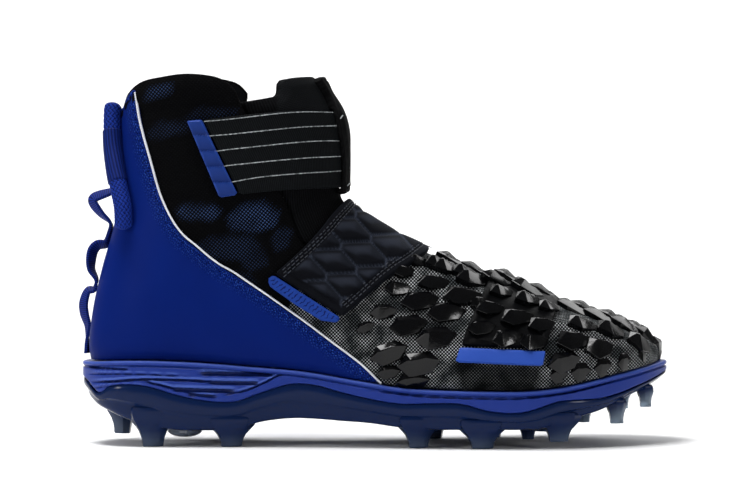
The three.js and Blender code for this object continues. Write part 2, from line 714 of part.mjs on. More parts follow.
// The strap's outline on one side, grown by a margin: it ends at its tab outside and runs to the sole inside.
function midfootOutline(margin, side) {
  const back = shifted(sideLine(midBack, 6), -margin);
  const front = shifted(sideLine(midFront, 6), margin);
  if (side < 0) return [...back, ...front.reverse()];
  const hem = [[footLength * 0.34 - margin, 0], [footLength * 0.50 + margin, 0]];
  return [back[0], ...back.slice(1, 4), ...hem, ...front.reverse().slice(-4)];
}

function midfootStrap() {
  const high = clearance + midfootStrapThickness;
  const strap = overlay(clearance, high, midfootOutline(0, -1), midfootOutline(0, 1));
  const quarter = sidePrism(behindQuarter(pipingWidth / 2 + clearance), -farOut, farOut);
  return strap.subtract(quarter).intersect(aboveSole(clearance));
}

function midfootStrapTab() {
  return lastAt(clearance + midfootStrapThickness + tabExtra / 2).subtract(lastAt(clearance))
    .intersect(sidePrism(sideLine(midTabOutline), -farOut, 0));
}

// Forefoot strap
const foreBack = [[0.700, 0.520], [0.693, 0.454], [0.673, 0.395], [0.653, 0.329], [0.641, 0.276]];
const foreFront = [[0.818, 0.460], [0.811, 0.395], [0.798, 0.342], [0.783, 0.270]];
const foreTabOutline = [[0.639, 0.272], [0.783, 0.262], [0.777, 0.222], [0.631, 0.232]];
const foreTabKeepOut = [[0.633, 0.285], [0.790, 0.275], [0.783, 0.212], [0.625, 0.222]];

function forefootOutline(margin, side) {
  const back = shifted(sideLine(foreBack, 5), -margin);
  const front = shifted(sideLine(foreFront, 5), margin);
  if (side < 0) return [...back, ...front.reverse()];
  const hem = [[footLength * 0.655 - margin, 0], [footLength * 0.79 + margin, 0]];
  return [back[0], ...back.slice(1, 4), ...hem, ...front.reverse().slice(-4)];
}

function forefootStrap() {
  const high = clearance + forefootStrapThickness;
  const band = overlay(clearance, high, forefootOutline(0, -1), forefootOutline(0, 1));
  const shape = sidePrism(forefootOutline(0, -1), -farOut, 0.01).add(sidePrism(forefootOutline(0, 1), 0, farOut));
  const field = lugs(strapLugs, high).intersect(shape);
  return band.add(field).intersect(aboveSole(clearance));
}

function forefootStrapTab() {
  return lastAt(clearance + forefootStrapThickness + tabExtra).subtract(lastAt(clearance))
    .intersect(sidePrism(sideLine(foreTabOutline), -farOut, 0));
}

// Pull rope: row of the last, turn past the back towards the outer side, distance off its seat on the quarter
const ropeStops = [
  [19.52, 0.06, -0.8],
  [19.40, 0.10, 0.0],
  [19.05, 0.20, 0.2],
  [18.70, 0.34, 0.1],
  [18.30, 0.48, 0.0],
  [17.95, 0.58, -0.1],
  [17.48, 0.66, -0.9],
];

function ropePath() {
  const base = clearance + quarterThickness + 2 * clearance + sleeveWall + ropeRadius;
  const stops = ropeStops.map(([row, turn, gap]) => onLast(row, Math.PI + turn, base + gap));
  return new THREE.CatmullRomCurve3(stops);
}

function pullRope() {
  const shape = new THREE.Shape();
  shape.absarc(0, 0, ropeRadius, 0, 2 * Math.PI);
  return solidOf(new THREE.ExtrudeGeometry(shape, { steps: 14, curveSegments: 5, extrudePath: ropePath() }));
}

function pullRopeSleeve() {
  const shape = new THREE.Shape();
  shape.absarc(0, 0, ropeRadius + clearance + sleeveWall, 0, 2 * Math.PI);
  const hole = new THREE.Path();
  hole.absarc(0, 0, ropeRadius + clearance, 0, 2 * Math.PI, true);
  shape.holes.push(hole);
  const path = ropePath();
  const points = Array.from({ length: 9 }, (unused, i) => path.getPoint(0.36 + (0.44 * i) / 8));
  const part = new THREE.CatmullRomCurve3(points);
  return solidOf(new THREE.ExtrudeGeometry(shape, { steps: 7, curveSegments: 5, extrudePath: part }));
}

// Heel ribbon: height as a share of the collar's above the sole rim, distance of its middle off the quarter
const ribbonStops = [
  [0.592, 0.0], [0.585, 3.5], [0.566, 11.0], [0.545, 11.2], [0.508, 6.5], [0.478, 1.2], [0.448, 0.0], [0.405, 0.0],
  [0.398, 4.5], [0.372, 6.2], [0.317, 4.6], [0.279, 0.6], [0.258, 0.0], [0.240, 0.4], [0.236, 3.4], [0.195, 4.2],
  [0.156, 3.0], [0.112, 0.4], [0.060, 0.0], [0.016, 0.0],
];

function heelRibbon() {
  const seat = clearance + quarterThickness + clearance + ribbonThickness / 2;
  const stops = ribbonStops.map(([share, off]) => {
    const z = heelHeight + (collarHeight - heelHeight) * share;
    let row = 15;
    while (row < 19.9 && onLast(row, Math.PI, 0).z < z) row += 0.05;
    return new THREE.Vector2(onLast(row, Math.PI, seat + off).x, z);
  });
  const middle = new THREE.SplineCurve(stops).getPoints(46).map((point) => [point.x, point.y]);
  const region = between(middle, -ribbonThickness / 2, ribbonThickness / 2);
  const ribbon = sidePrism(region, -ribbonWidth * 0.2, ribbonWidth * 0.8);
  return ribbon.subtract(lastAt(quarterThickness + 2 * clearance));
}

const boot = new THREE.Group();

function addPiece(name, solid, color, roughness, metalness = 0) {
  const result = solid.getMesh();
  const geometry = new THREE.BufferGeometry();
  geometry.setAttribute('position', new THREE.Float32BufferAttribute(result.vertProperties, 3));
  geometry.setIndex(Array.from(result.triVerts));
  geometry.computeVertexNormals();
  const mesh = new THREE.Mesh(geometry, new THREE.MeshStandardMaterial({ color, roughness, metalness }));
  mesh.name = name;
  boot.add(mesh);
}

addPiece('outsole', outsole(), 0x2b4578, 0.3);
addPiece('midsole', midsole(), 0x2a35b0, 0.45);
addPiece('insole', insole(), 0x15161a, 0.9);
addPiece('upper', upper(), 0x121216, 0.8);
addPiece('tongue', tongue(), 0x2a2b30, 0.9);
addPiece('heel_quarter', heelQuarter(), 0x0a1f90, 0.4);
addPiece('quarter_piping_outer', quarterPiping(-1), 0xf2f2f4, 0.6);
addPiece('quarter_piping_inner', quarterPiping(1), 0xf2f2f4, 0.6);
addPiece('ankle_strap', ankleStrap(), 0x141418, 0.8);
addPiece('ankle_strap_tab', ankleStrapTab(), 0x1f46c8, 0.4);
addPiece('front_shroud', frontShroud(), 0x101014, 0.85);
addPiece('midfoot_strap', midfootStrap(), 0x141418, 0.8);
addPiece('midfoot_strap_tab', midfootStrapTab(), 0x1f46c8, 0.4);
addPiece('forefoot_strap', forefootStrap(), 0x141418, 0.5);
addPiece('forefoot_strap_tab', forefootStrapTab(), 0x1f46c8, 0.4);
addPiece('pull_rope', pullRope(), 0x1b36a8, 0.85);
addPiece('pull_rope_sleeve', pullRopeSleeve(), 0x0d215b, 0.5);
addPiece('heel_ribbon', heelRibbon(), 0x14246a, 0.7);

// The origin is the middle of the box that the boot fills, on the floor.
const box = new THREE.Box3().setFromObject(boot);
const middle = box.getCenter(new THREE.Vector3());
boot.position.set(-middle.x, -middle.y, -box.min.z);

export default boot;
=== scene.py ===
"""High-top american football cleat, right shoe, dressed over its CAD solids.

The shoe stands on its studs with its toe to +X and its outer side to -Y. Sizes are in millimetres on the last,
measured from the back of the heel and the middle of the sole, and become metres when a mesh is made.
"""
import math

import bmesh
import bpy
import numpy as np
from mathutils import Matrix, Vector


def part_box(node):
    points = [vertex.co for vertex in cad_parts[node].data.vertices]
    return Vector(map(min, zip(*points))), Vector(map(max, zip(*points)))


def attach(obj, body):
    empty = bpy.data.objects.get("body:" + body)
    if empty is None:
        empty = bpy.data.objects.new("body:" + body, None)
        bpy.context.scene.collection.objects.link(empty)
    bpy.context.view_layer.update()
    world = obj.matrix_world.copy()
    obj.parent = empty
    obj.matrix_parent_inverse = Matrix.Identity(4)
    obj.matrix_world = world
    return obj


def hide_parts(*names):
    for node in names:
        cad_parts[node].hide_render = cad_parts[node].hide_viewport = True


bl_info = {
    "name": "Football cleat",
    "version": (1, 0, 0),
    "blender": (4, 5, 0),
    "location": "View3D > Sidebar > Cleat",
    "description": "Dresses a high-top american football cleat and sets its stage",
    "category": "Object",
}

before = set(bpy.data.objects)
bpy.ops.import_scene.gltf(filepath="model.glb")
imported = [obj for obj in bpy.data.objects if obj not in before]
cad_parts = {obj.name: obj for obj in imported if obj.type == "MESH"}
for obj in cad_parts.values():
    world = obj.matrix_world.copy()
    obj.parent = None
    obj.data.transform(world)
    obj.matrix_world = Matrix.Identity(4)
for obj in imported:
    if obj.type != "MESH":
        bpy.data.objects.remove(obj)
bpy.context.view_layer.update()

MM = 0.001
LENGTH = 299.0
BALL = 106.0
HEEL = 43.2
INSTEP = 106.3
COLLAR = 187.5
GAP = 0.3
WALL = 2.0
TUCK = 8.5
low_corner, high_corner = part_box("midsole")[:2]
SHIFT = np.array([low_corner.x / MM, (low_corner.y + high_corner.y) / 2 / MM - 0.40, 0.0])
QUARTER = 1.2
STRAP = 1.6
MID_HEM = (0.34, 0.50)
FORE_HEM = (0.655, 0.79)

# Sole lines: x as a share of the length, then top rim, wave under the foam and underside of the plate as
# shares of the heel height
SOLE_LINES = [
    [0, 0.97, 0.8, 0.62],
    [0.012, 0.975, 0.745, 0.56],
    [0.031, 0.985, 0.625, 0.465],
    [0.052, 0.994, 0.705, 0.4],
    [0.085, 1, 0.728, 0.31],
    [0.122, 1.001, 0.7, 0.232],
    [0.165, 0.993, 0.612, 0.192],
    [0.206, 0.979, 0.552, 0.19],
    [0.245, 0.96, 0.528, 0.195],
    [0.27, 0.945, 0.545, 0.21],
    [0.306, 0.925, 0.634, 0.288],
    [0.356, 0.898, 0.738, 0.332],
    [0.398, 0.862, 0.728, 0.328],
    [0.44, 0.812, 0.65, 0.307],
    [0.49, 0.755, 0.572, 0.283],
    [0.54, 0.702, 0.522, 0.238],
    [0.59, 0.68, 0.528, 0.216],
    [0.64, 0.67, 0.525, 0.217],
    [0.69, 0.665, 0.44, 0.219],
    [0.739, 0.664, 0.423, 0.218],
    [0.772, 0.676, 0.48, 0.224],
    [0.805, 0.7, 0.552, 0.29],
    [0.84, 0.74, 0.566, 0.358],
    [0.875, 0.79, 0.575, 0.425],
    [0.908, 0.838, 0.622, 0.52],
    [0.935, 0.874, 0.682, 0.6],
    [0.962, 0.912, 0.745, 0.672],
    [0.985, 0.942, 0.806, 0.74],
    [1, 0.96, 0.85, 0.79],
]
# Outline of the sole: x as a share of the length, outer and inner edge as shares of the ball width
OUTLINE = [
    [0, 0, 0],
    [0.003, 0.08, 0.075],
    [0.012, 0.15, 0.142],
    [0.028, 0.22, 0.208],
    [0.052, 0.282, 0.268],
    [0.085, 0.322, 0.306],
    [0.13, 0.345, 0.326],
    [0.2, 0.354, 0.33],
    [0.3, 0.358, 0.316],
    [0.4, 0.375, 0.298],
    [0.5, 0.415, 0.304],
    [0.6, 0.464, 0.35],
    [0.68, 0.488, 0.42],
    [0.75, 0.484, 0.474],
    [0.81, 0.45, 0.497],
    [0.86, 0.39, 0.494],
    [0.9, 0.315, 0.467],
    [0.94, 0.205, 0.41],
    [0.97, 0.09, 0.345],
    [0.988, -0.01, 0.275],
    [0.997, -0.08, 0.205],
    [1, -0.14, 0.14],
]
# The last: row, front x, rise, shaft, back x, tuck, back height, outer, inner, ridge, crown, base, widest
LAST_ROWS = [
    [0, 0.988, 0.395, 0, 0.988, 0, 0, -0.13, 0.15, 0.14, 2, 2, 0.5],
    [1, 0.984, 0.448, 0, 0.984, 0.6, 0, -0.065, 0.21, 0.138, 2, 2, 0.5],
    [2, 0.976, 0.486, 0, 0.976, 0.9, 0, 0.015, 0.282, 0.136, 2, 2.2, 0.48],
    [3, 0.959, 0.52, 0, 0.959, 1, 0, 0.115, 0.35, 0.132, 2.1, 2.4, 0.46],
    [4, 0.93, 0.551, 0, 0.93, 1, 0, 0.222, 0.408, 0.128, 2.2, 2.6, 0.44],
    [5, 0.882, 0.601, 0, 0.886, 1, 0, 0.338, 0.464, 0.12, 2.2, 2.8, 0.4],
    [6, 0.814, 0.668, 0, 0.824, 1, 0, 0.43, 0.48, 0.105, 2.2, 3, 0.36],
    [7, 0.732, 0.752, 0, 0.749, 1, 0, 0.468, 0.454, 0.085, 2.1, 3, 0.32],
    [8, 0.652, 0.839, 0, 0.671, 1, 0, 0.464, 0.396, 0.065, 2, 3.2, 0.29],
    [9, 0.582, 0.915, 0, 0.592, 1, 0, 0.436, 0.334, 0.045, 1.95, 3.2, 0.27],
    [10, 0.521, 1, 0, 0.503, 1, 0, 0.394, 0.292, 0.03, 1.95, 3.2, 0.26],
    [11, 0.473, 1, 0.112, 0.401, 1, 0, 0.36, 0.29, 0.02, 2, 3.2, 0.3],
    [12, 0.445, 1, 0.213, 0.285, 1, 0, 0.345, 0.302, 0.012, 2.1, 3.2, 0.36],
    [13, 0.439, 1, 0.313, 0.162, 1, 0, 0.336, 0.312, 0.008, 2.2, 3.2, 0.42],
    [14, 0.439, 1, 0.414, 0.05, 1, 0, 0.333, 0.316, 0.005, 2.2, 2.7, 0.46],
    [15, 0.439, 1, 0.527, 0.018, 0, 0.02, 0.335, 0.32, 0.003, 2.2, 2.4, 0.5],
    [16, 0.438, 1, 0.64, 0.022, 0, 0.168, 0.338, 0.326, 0.002, 2.2, 2.2, 0.5],
    [17, 0.43, 1, 0.747, 0.038, 0, 0.317, 0.342, 0.332, 0, 2.2, 2.1, 0.5],
    [18, 0.412, 1, 0.86, 0.062, 0, 0.504, 0.348, 0.34, 0, 2.2, 2.1, 0.5],
    [19, 0.396, 1, 0.992, 0.07, 0, 0.734, 0.352, 0.344, 0, 2.2, 2.1, 0.5],
    [20, 0.388, 1, 1.142, 0.071, 0, 1.066, 0.354, 0.346, 0, 2.2, 2.1, 0.5],
]
# Lines in side view, as shares of the length and the collar height
COLLAR_OUTER = [
    [0.052, 0.915], [0.071, 0.919], [0.081, 0.951], [0.105, 0.978], [0.138, 0.989], [0.177, 0.997],
    [0.214, 0.994],
    [0.242, 0.983], [0.263, 0.957], [0.274, 0.919],
]
COLLAR_INNER = [
    [0.052, 0.915], [0.071, 0.919], [0.081, 0.951], [0.105, 0.978], [0.138, 0.99], [0.177, 0.998],
    [0.214, 0.996],
    [0.242, 0.99], [0.263, 0.978], [0.28, 0.95],
]
THROAT = [
    [0.274, 0.919], [0.293, 0.847], [0.319, 0.754], [0.348, 0.66], [0.373, 0.554], [0.403, 0.527],
    [0.448, 0.527],
    [0.52, 0.56],
]
TONGUE_TOP = [
    [0.225, 0.909], [0.274, 0.921], [0.321, 0.934], [0.339, 0.944], [0.344, 0.977], [0.36, 0.988],
    [0.409, 0.999],
]
QUARTER_EDGE = [
    [0.097, 0.96], [0.107, 0.866], [0.124, 0.767], [0.144, 0.66], [0.172, 0.58], [0.206, 0.53], [0.239, 0.49],
    [0.289, 0.439], [0.373, 0.346], [0.423, 0.287], [0.473, 0.228], [0.503, 0.185], [0.53, 0.145],
]
ANKLE_TOP = [[0.212, 0.874], [0.298, 0.89], [0.373, 0.9], [0.47, 0.893]]
ANKLE_BOTTOM = [[0.273, 0.674], [0.314, 0.682], [0.356, 0.687], [0.47, 0.696]]
ANKLE_TAB = [[0.184, 0.871], [0.209, 0.874], [0.27, 0.674], [0.239, 0.666]]
SHROUD_EDGE = [
    [0.404, 0.992], [0.421, 0.951], [0.434, 0.897], [0.442, 0.84], [0.447, 0.781], [0.447, 0.695],
    [0.443, 0.67],
]
SHROUD_TOP = [[0.52, 0.96], [0.428, 0.978], [0.414, 0.996]]
SHROUD_HEM = [[0.456, 0.682], [0.474, 0.712], [0.52, 0.76]]
MID_BACK = [[0.47, 0.69], [0.431, 0.625], [0.409, 0.583], [0.381, 0.537], [0.356, 0.5], [0.331, 0.465]]
MID_FRONT = [[0.6, 0.54], [0.56, 0.495], [0.532, 0.468], [0.507, 0.439], [0.482, 0.404], [0.443, 0.351]]
MID_TAB = [
    [0.329, 0.461], [0.319, 0.45], [0.323, 0.431], [0.365, 0.383], [0.408, 0.341], [0.432, 0.336],
    [0.442, 0.347],
]
FORE_BACK = [[0.7, 0.52], [0.693, 0.454], [0.673, 0.395], [0.653, 0.329], [0.641, 0.276]]
FORE_FRONT = [[0.818, 0.46], [0.811, 0.395], [0.798, 0.342], [0.783, 0.27]]
FORE_TAB = [[0.639, 0.272], [0.783, 0.262], [0.777, 0.222], [0.631, 0.232]]
VAMP_AREA = [
    [0.47, 0.7], [0.44, 0.6], [0.4, 0.48], [0.36, 0.4], [0.34, 0.3], [0.36, 0], [1.05, 0], [1.05, 0.7],
]
PLAIN_PATCH = [[0.628, 0.236], [0.778, 0.226], [0.775, 0.185], [0.755, 0.15], [0.64, 0.148]]
TONGUE_PAD = [[0.335, 0.94], [0.345, 1.06], [0.5, 1.06], [0.5, 0.86], [0.335, 0.87]]
ANKLE_THREADS = [
    [[0.214, 0.83], [0.259, 0.836], [0.356, 0.852], [0.435, 0.858]],
    [[0.226, 0.788], [0.259, 0.796], [0.373, 0.815], [0.436, 0.819]],
    [[0.243, 0.748], [0.259, 0.754], [0.373, 0.772], [0.438, 0.778]],
    [[0.256, 0.708], [0.306, 0.722], [0.373, 0.732], [0.441, 0.739]],
    [[0.214, 0.869], [0.259, 0.876], [0.356, 0.893], [0.432, 0.89]],
]
BAR_TACKS = [[0.426, 0.875], [0.436, 0.698]]
# Creases: side (-1 outer, 1 inner, 0 both), from x and height to x and height, width and depth in millimetres
CREASES = [
    [0, 0.18, 0.56, 0.33, 0.6, 4, 0.9],
    [0, 0.15, 0.66, 0.33, 0.665, 4.5, 0.7],
    [0, 0.215, 0.48, 0.345, 0.52, 3.5, 0.7],
    [0, 0.1, 0.93, 0.24, 0.905, 3.5, 0.4],
    [-1, 0.5, 0.3, 0.56, 0.5, 5, 0.5],
    [1, 0.5, 0.3, 0.56, 0.5, 5, 0.6],
    [0, 0.62, 0.22, 0.655, 0.43, 4.5, 0.5],
    [1, 0.06, 0.42, 0.24, 0.38, 7, 0.5],
    [-1, 0.06, 0.5, 0.2, 0.47, 8, 0.35],
]
# Lugs: x as a share of the length, height as a share of the collar's, 1 for both sides, length in millimetres
# and lean in degrees. A height of nought stands for a place near the ridge, and the third number is its turn.
VAMP_LUGS = [
    [0.571, 0.492, 1, 11.1, 0], [0.547, 0.465, 1, 11.1, -10], [0.537, 0.422, 1, 13, -5],
    [0.597, 0.438, 1, 15.1, -5],
    [0.62, 0.474, 1, 16.2, 0], [0.662, 0.441, 1, 17.2, 0], [0.575, 0.391, 1, 18, -8], [0.646, 0.401, 1, 19, -3],
    [0.513, 0.362, 1, 13, -10], [0.618, 0.36, 1, 18, -5], [0.555, 0.326, 1, 17.9, -15],
    [0.601, 0.294, 1, 18.9, -10], [0.523, 0.254, 1, 17.9, -18], [0.573, 0.226, 1, 19.9, -12],
    [0.562, 0.18, 1, 15.9, -3], [0.523, 0.204, 1, 11, -5], [0.676, 0.383, 1, 11, -20],
    [0.483, 0.322, 1, 9, -20], [0.848, 0.324, 1, 17.1, 0], [0.898, 0.304, 1, 17.2, 3],
    [0.829, 0.285, 1, 18, -8],
    [0.949, 0.27, 1, 17.2, 3], [0.875, 0.265, 1, 18, -8], [0.814, 0.231, 1, 16.9, -12],
    [0.628, 0, 0, 15, 0],
    [0.671, 0, 0, 15.5, 0], [0.861, 0, 0, 16, 0], [0.909, 0, 0, 15.5, 0], [0.953, 0, 0, 15, 0],
    [0.984, 0, 0, 11, 0], [0.604, 0, 0.13, 15.5, 0], [0.65, 0, 0.13, 15.5, 0], [0.838, 0, 0.14, 15.5, 0],
    [0.884, 0, 0.15, 15.5, 0], [0.928, 0, 0.16, 14.5, 0], [0.964, 0, 0.18, 12, 0],
]
STRAP_LUGS = [
    [0.709, 0.402, 1, 13.1, -3], [0.69, 0.362, 1, 13, -5], [0.676, 0.316, 1, 12.9, -12],
    [0.718, 0.29, 1, 14.9, -12], [0.734, 0.338, 1, 16, -10], [0.754, 0.38, 1, 15.1, -3],
    [0.79, 0.362, 1, 13.1, -8], [0.775, 0.32, 1, 14, -12], [0.761, 0.279, 1, 13.9, -10],
    [0.728, 0, 0, 15.5, 0], [0.785, 0, 0, 14.5, 0],
    [0.702, 0, 0.13, 14, 0], [0.754, 0, 0.13, 15, 0],
]
# Flat tiles along the toe's rim, in the lugs' columns
TOE_TILES = [
    [0.806, 0.196, 1, 11, -3], [0.843, 0.203, 1, 12.5, -3], [0.882, 0.213, 1, 12.5, -6],
    [0.919, 0.227, 1, 12, -9],
    [0.952, 0.244, 1, 10, -12],
]
# Knit zones: strength of the dots, then the outline in side view
KNIT_ZONES = [
    [0.55, (0.109, 0.935), (0.119, 0.959), (0.159, 0.97), (0.159, 0.948), (0.122, 0.93)],
    [0.35, (0.179, 0.879), (0.206, 0.906), (0.266, 0.9), (0.266, 0.852), (0.199, 0.836)],
    [0.3, (0.117, 0.847), (0.139, 0.868), (0.192, 0.868), (0.186, 0.844), (0.122, 0.82)],
    [1, (0.165, 0.634), (0.179, 0.647), (0.229, 0.644), (0.242, 0.628), (0.232, 0.61), (0.182, 0.612)],
    [1, (0.251, 0.618), (0.273, 0.647), (0.309, 0.658), (0.338, 0.628), (0.333, 0.591), (0.299, 0.575),
     (0.259, 0.583)],
    [0.4, (0.192, 0.532), (0.216, 0.559), (0.293, 0.564), (0.309, 0.538), (0.286, 0.5), (0.212, 0.506)],
    [0.4, (0.324, 0.554), (0.336, 0.586), (0.36, 0.58), (0.353, 0.538), (0.333, 0.522)],
    [0.35, (0.273, 0.495), (0.283, 0.532), (0.313, 0.527), (0.319, 0.49), (0.289, 0.468)],
    [0.25, (0.206, 0.442), (0.229, 0.479), (0.293, 0.458), (0.309, 0.415), (0.256, 0.404)],
]
# Studs: x share, side, inset from the edge, length, width, lift of the tip
STUDS = [
    [0.123, -1, 0.085, 1.05, 1.05, 0],
    [0.255, -1, 0.085, 1.05, 1, 0],
    [0.064, 1, 0.075, 0.85, 1, 0.07],
    [0.25, 1, 0.085, 1.05, 1, 0],
    [0.569, -1, 0.095, 0.95, 1.05, 0],
    [0.675, -1, 0.085, 1.1, 1.1, 0],
    [0.803, -1, 0.085, 0.95, 1, 0.075],
    [0.904, -1, 0.08, 0.7, 0.8, 0.262],
    [0.957, -1, 0.075, 0.6, 0.7, 0.43],
    [0.6, 1, 0.08, 1, 1.05, 0],
    [0.702, 1, 0.095, 1.05, 1.1, 0],
    [0.79, 1, 0.095, 0.9, 0.95, 0.06],
    [0.862, 1, 0.09, 0.8, 0.85, 0.17],
    [0.93, 1, 0.08, 0.65, 0.75, 0.345],
    [0.757, -1, 0.4, 0.6, 0.8, 0.05],
]
# Pull rope: row of the last, turn past the back, distance off its seat
ROPE_STOPS = [
    [19.52, 0.06, -0.8],
    [19.4, 0.1, 0],
    [19.05, 0.2, 0.2],
    [18.7, 0.34, 0.1],
    [18.3, 0.48, 0],
    [17.95, 0.58, -0.1],
    [17.48, 0.66, -0.9],
]
# Heel ribbon: height as a share, distance off the quarter
RIBBON_STOPS = [
    [0.592, 0], [0.585, 3.5], [0.566, 11], [0.545, 11.2], [0.508, 6.5], [0.478, 1.2], [0.448, 0], [0.405, 0],
    [0.398, 4.5], [0.372, 6.2], [0.317, 4.6], [0.279, 0.6], [0.258, 0], [0.24, 0.4], [0.236, 3.4], [0.195, 4.2],
    [0.156, 3], [0.112, 0.4], [0.06, 0], [0.016, 0],
]
# Lines cut in the midsole's side: width and depth in millimetres, then points as shares of length and heel
# height
SIDE_LINES = [
    [0.9, 0.9, (0.01, 0.909), (0.045, 0.907), (0.09, 0.903)],
    [2, 1.5, (0.2, 0.862), (0.266, 0.857), (0.336, 0.85)],
    [0.8, 0.5, (0.008, 0.83), (0.05, 0.842), (0.11, 0.846), (0.19, 0.822)],
    [0.7, 0.45, (0.016, 0.65), (0.04, 0.69), (0.085, 0.715), (0.12, 0.7)],
    [1.1, 1, (0.012, 0.735), (0.059, 0.76), (0.112, 0.788), (0.184, 0.779), (0.239, 0.76), (0.305, 0.757)],
    [1, 1, (0.108, 0.775), (0.159, 0.689), (0.2, 0.62), (0.24, 0.59)],
    [1.9, 1.4, (0.155, 0.678), (0.211, 0.664), (0.27, 0.656)],
    [1.3, 1, (0.184, 0.615), (0.236, 0.592)],
    [1.8, 1.2, (0.215, 0.757), (0.262, 0.75), (0.308, 0.748)],
    [1, 0.8, (0.24, 0.6), (0.283, 0.665), (0.315, 0.755), (0.346, 0.85), (0.395, 0.845)],
    [0.9, 0.7, (0.47, 0.69), (0.572, 0.61), (0.69, 0.586),
     (0.756, 0.595), (0.835, 0.665), (0.917, 0.8), (0.985, 0.89)],
]
# Lights: name, place, aim, size and power
LIGHTS = [
    ["overhead", (-0.28, -0.10, 1.15), (-0.05, 0.0, 0.0), (0.75, 0.45), 16.0],
    ["left", (-1.5, -1.0, 0.60), (0.0, 0.0, 0.08), (0.28, 0.5), 9.0],
    ["right", (1.5, -1.2, 0.50), (0.0, 0.0, 0.06), (0.28, 0.42), 6.0],
    ["sweep", (0.0, 2.3, 1.9), (0.0, 2.6, 0.0), (4.5, 2.2), 90.0],
]


# The last
def value_at(rows, column, key):
    """A column of a table at a key: a smooth curve through its rows."""
    table = np.asarray(rows, float)
    keys, values = table[:, 0], table[:, column]
    last = len(keys) - 1
    key = np.asarray(key, float)
    low = np.searchsorted(keys[1:-1], key, side="left")
    before, after = np.maximum(np.arange(last + 1) - 1, 0), np.minimum(np.arange(last + 1) + 1, last)
    slopes = (values[after] - values[before]) / (keys[after] - keys[before])
    span = keys[low + 1] - keys[low]
    t = np.clip((key - keys[low]) / span, 0, 1)
    rise = t * t * (3 - 2 * t)
    leave = t * (1 - t) ** 2 * slopes[low] * span
    arrive = t * t * (1 - t) * slopes[low + 1] * span
    return values[low] + (values[low + 1] - values[low]) * rise + leave - arrive


def sole_height(line, x):
    """Height of a line of the sole at places along it."""
    return HEEL * value_at(SOLE_LINES, line, np.clip(np.asarray(x, float) / LENGTH, 0, 1))


def shares(points):
    """Shares of length and collar height, as millimetres in side view."""
    return np.array([[x * LENGTH, z * COLLAR] for x, z in points])


def spline(points, count):
    """A smooth curve through points, each span cut in count parts."""
    p = np.asarray(points, float)
    p = np.vstack([2 * p[0] - p[1], p, 2 * p[-1] - p[-2]])
    out = []
    for i in range(1, len(p) - 2):
        t = np.linspace(0, 1, count, endpoint=False)[:, None]
        a, b, c, d = p[i - 1], p[i], p[i + 1], p[i + 2]
        out.append(0.5 * (2 * b + (c - a) * t + (2 * a - 5 * b + 4 * c - d) * t ** 2
                          + (3 * b - a - 3 * c + d) * t ** 3))
    return np.vstack(out + [p[-2][None]])


def even(points, step):
    """A line walked in even steps."""
    p = np.asarray(points, float)
    along = run_of(p)
    count = max(2, int(round(along[-1] / step)) + 1)
    at = np.linspace(0, along[-1], count)
    return np.stack([np.interp(at, along, p[:, k]) for k in range(p.shape[1])], 1)


def shifted(line, distance):
    """A line in side view moved sideways, to the left of its run if positive."""
    p = np.asarray(line, float)
    run = unit(np.gradient(p, axis=0))
    return p + np.stack([-run[:, 1], run[:, 0]], 1) * distance


def unit(vectors):
    """The same directions with a length of one."""
    return vectors / np.linalg.norm(vectors, axis=-1, keepdims=True)


def run_of(points):
    """How far along a line each of its points lies."""
    return np.concatenate([[0], np.cumsum(np.linalg.norm(np.diff(points, axis=0), axis=1))])


def soft_step(value, low, high):
    """Nought below low, one above high and a smooth rise between."""
    t = np.clip((value - low) / (high - low), 0, 1)
    return t * t * (3 - 2 * t)


def cross_section(row, angle):
    """Sections of the last: x and z at angles from the front and, as shares of the ball width, the middle, half
    the width and how far to the side each angle reaches."""
    value = lambda column: value_at(LAST_ROWS, column, row)
    back_x, front_x = value(4) * LENGTH, value(1) * LENGTH
    front_z = INSTEP * value(2) + (COLLAR - INSTEP) * value(3)
    back_z = sole_height(1, back_x) - TUCK * value(5) + (COLLAR - HEEL) * value(6)
    cosine = np.cos(angle)
    front = cosine > 0
    power = 2 / np.where(front, value(10), value(11))
    reach = np.abs(cosine) ** power
    widest = value(12)
    along = np.where(front, widest + (1 - widest) * reach, widest * (1 - reach))
    half, centre = (value(7) + value(8)) / 2, (value(8) - value(7)) / 2
    lift = np.maximum(0, (along - widest) / (1 - widest))
    middle = centre + (value(9) - centre) * lift * lift
    side = np.abs(np.sin(angle)) ** power
    return back_x + (front_x - back_x) * along, back_z + (front_z - back_z) * along, middle, half, side


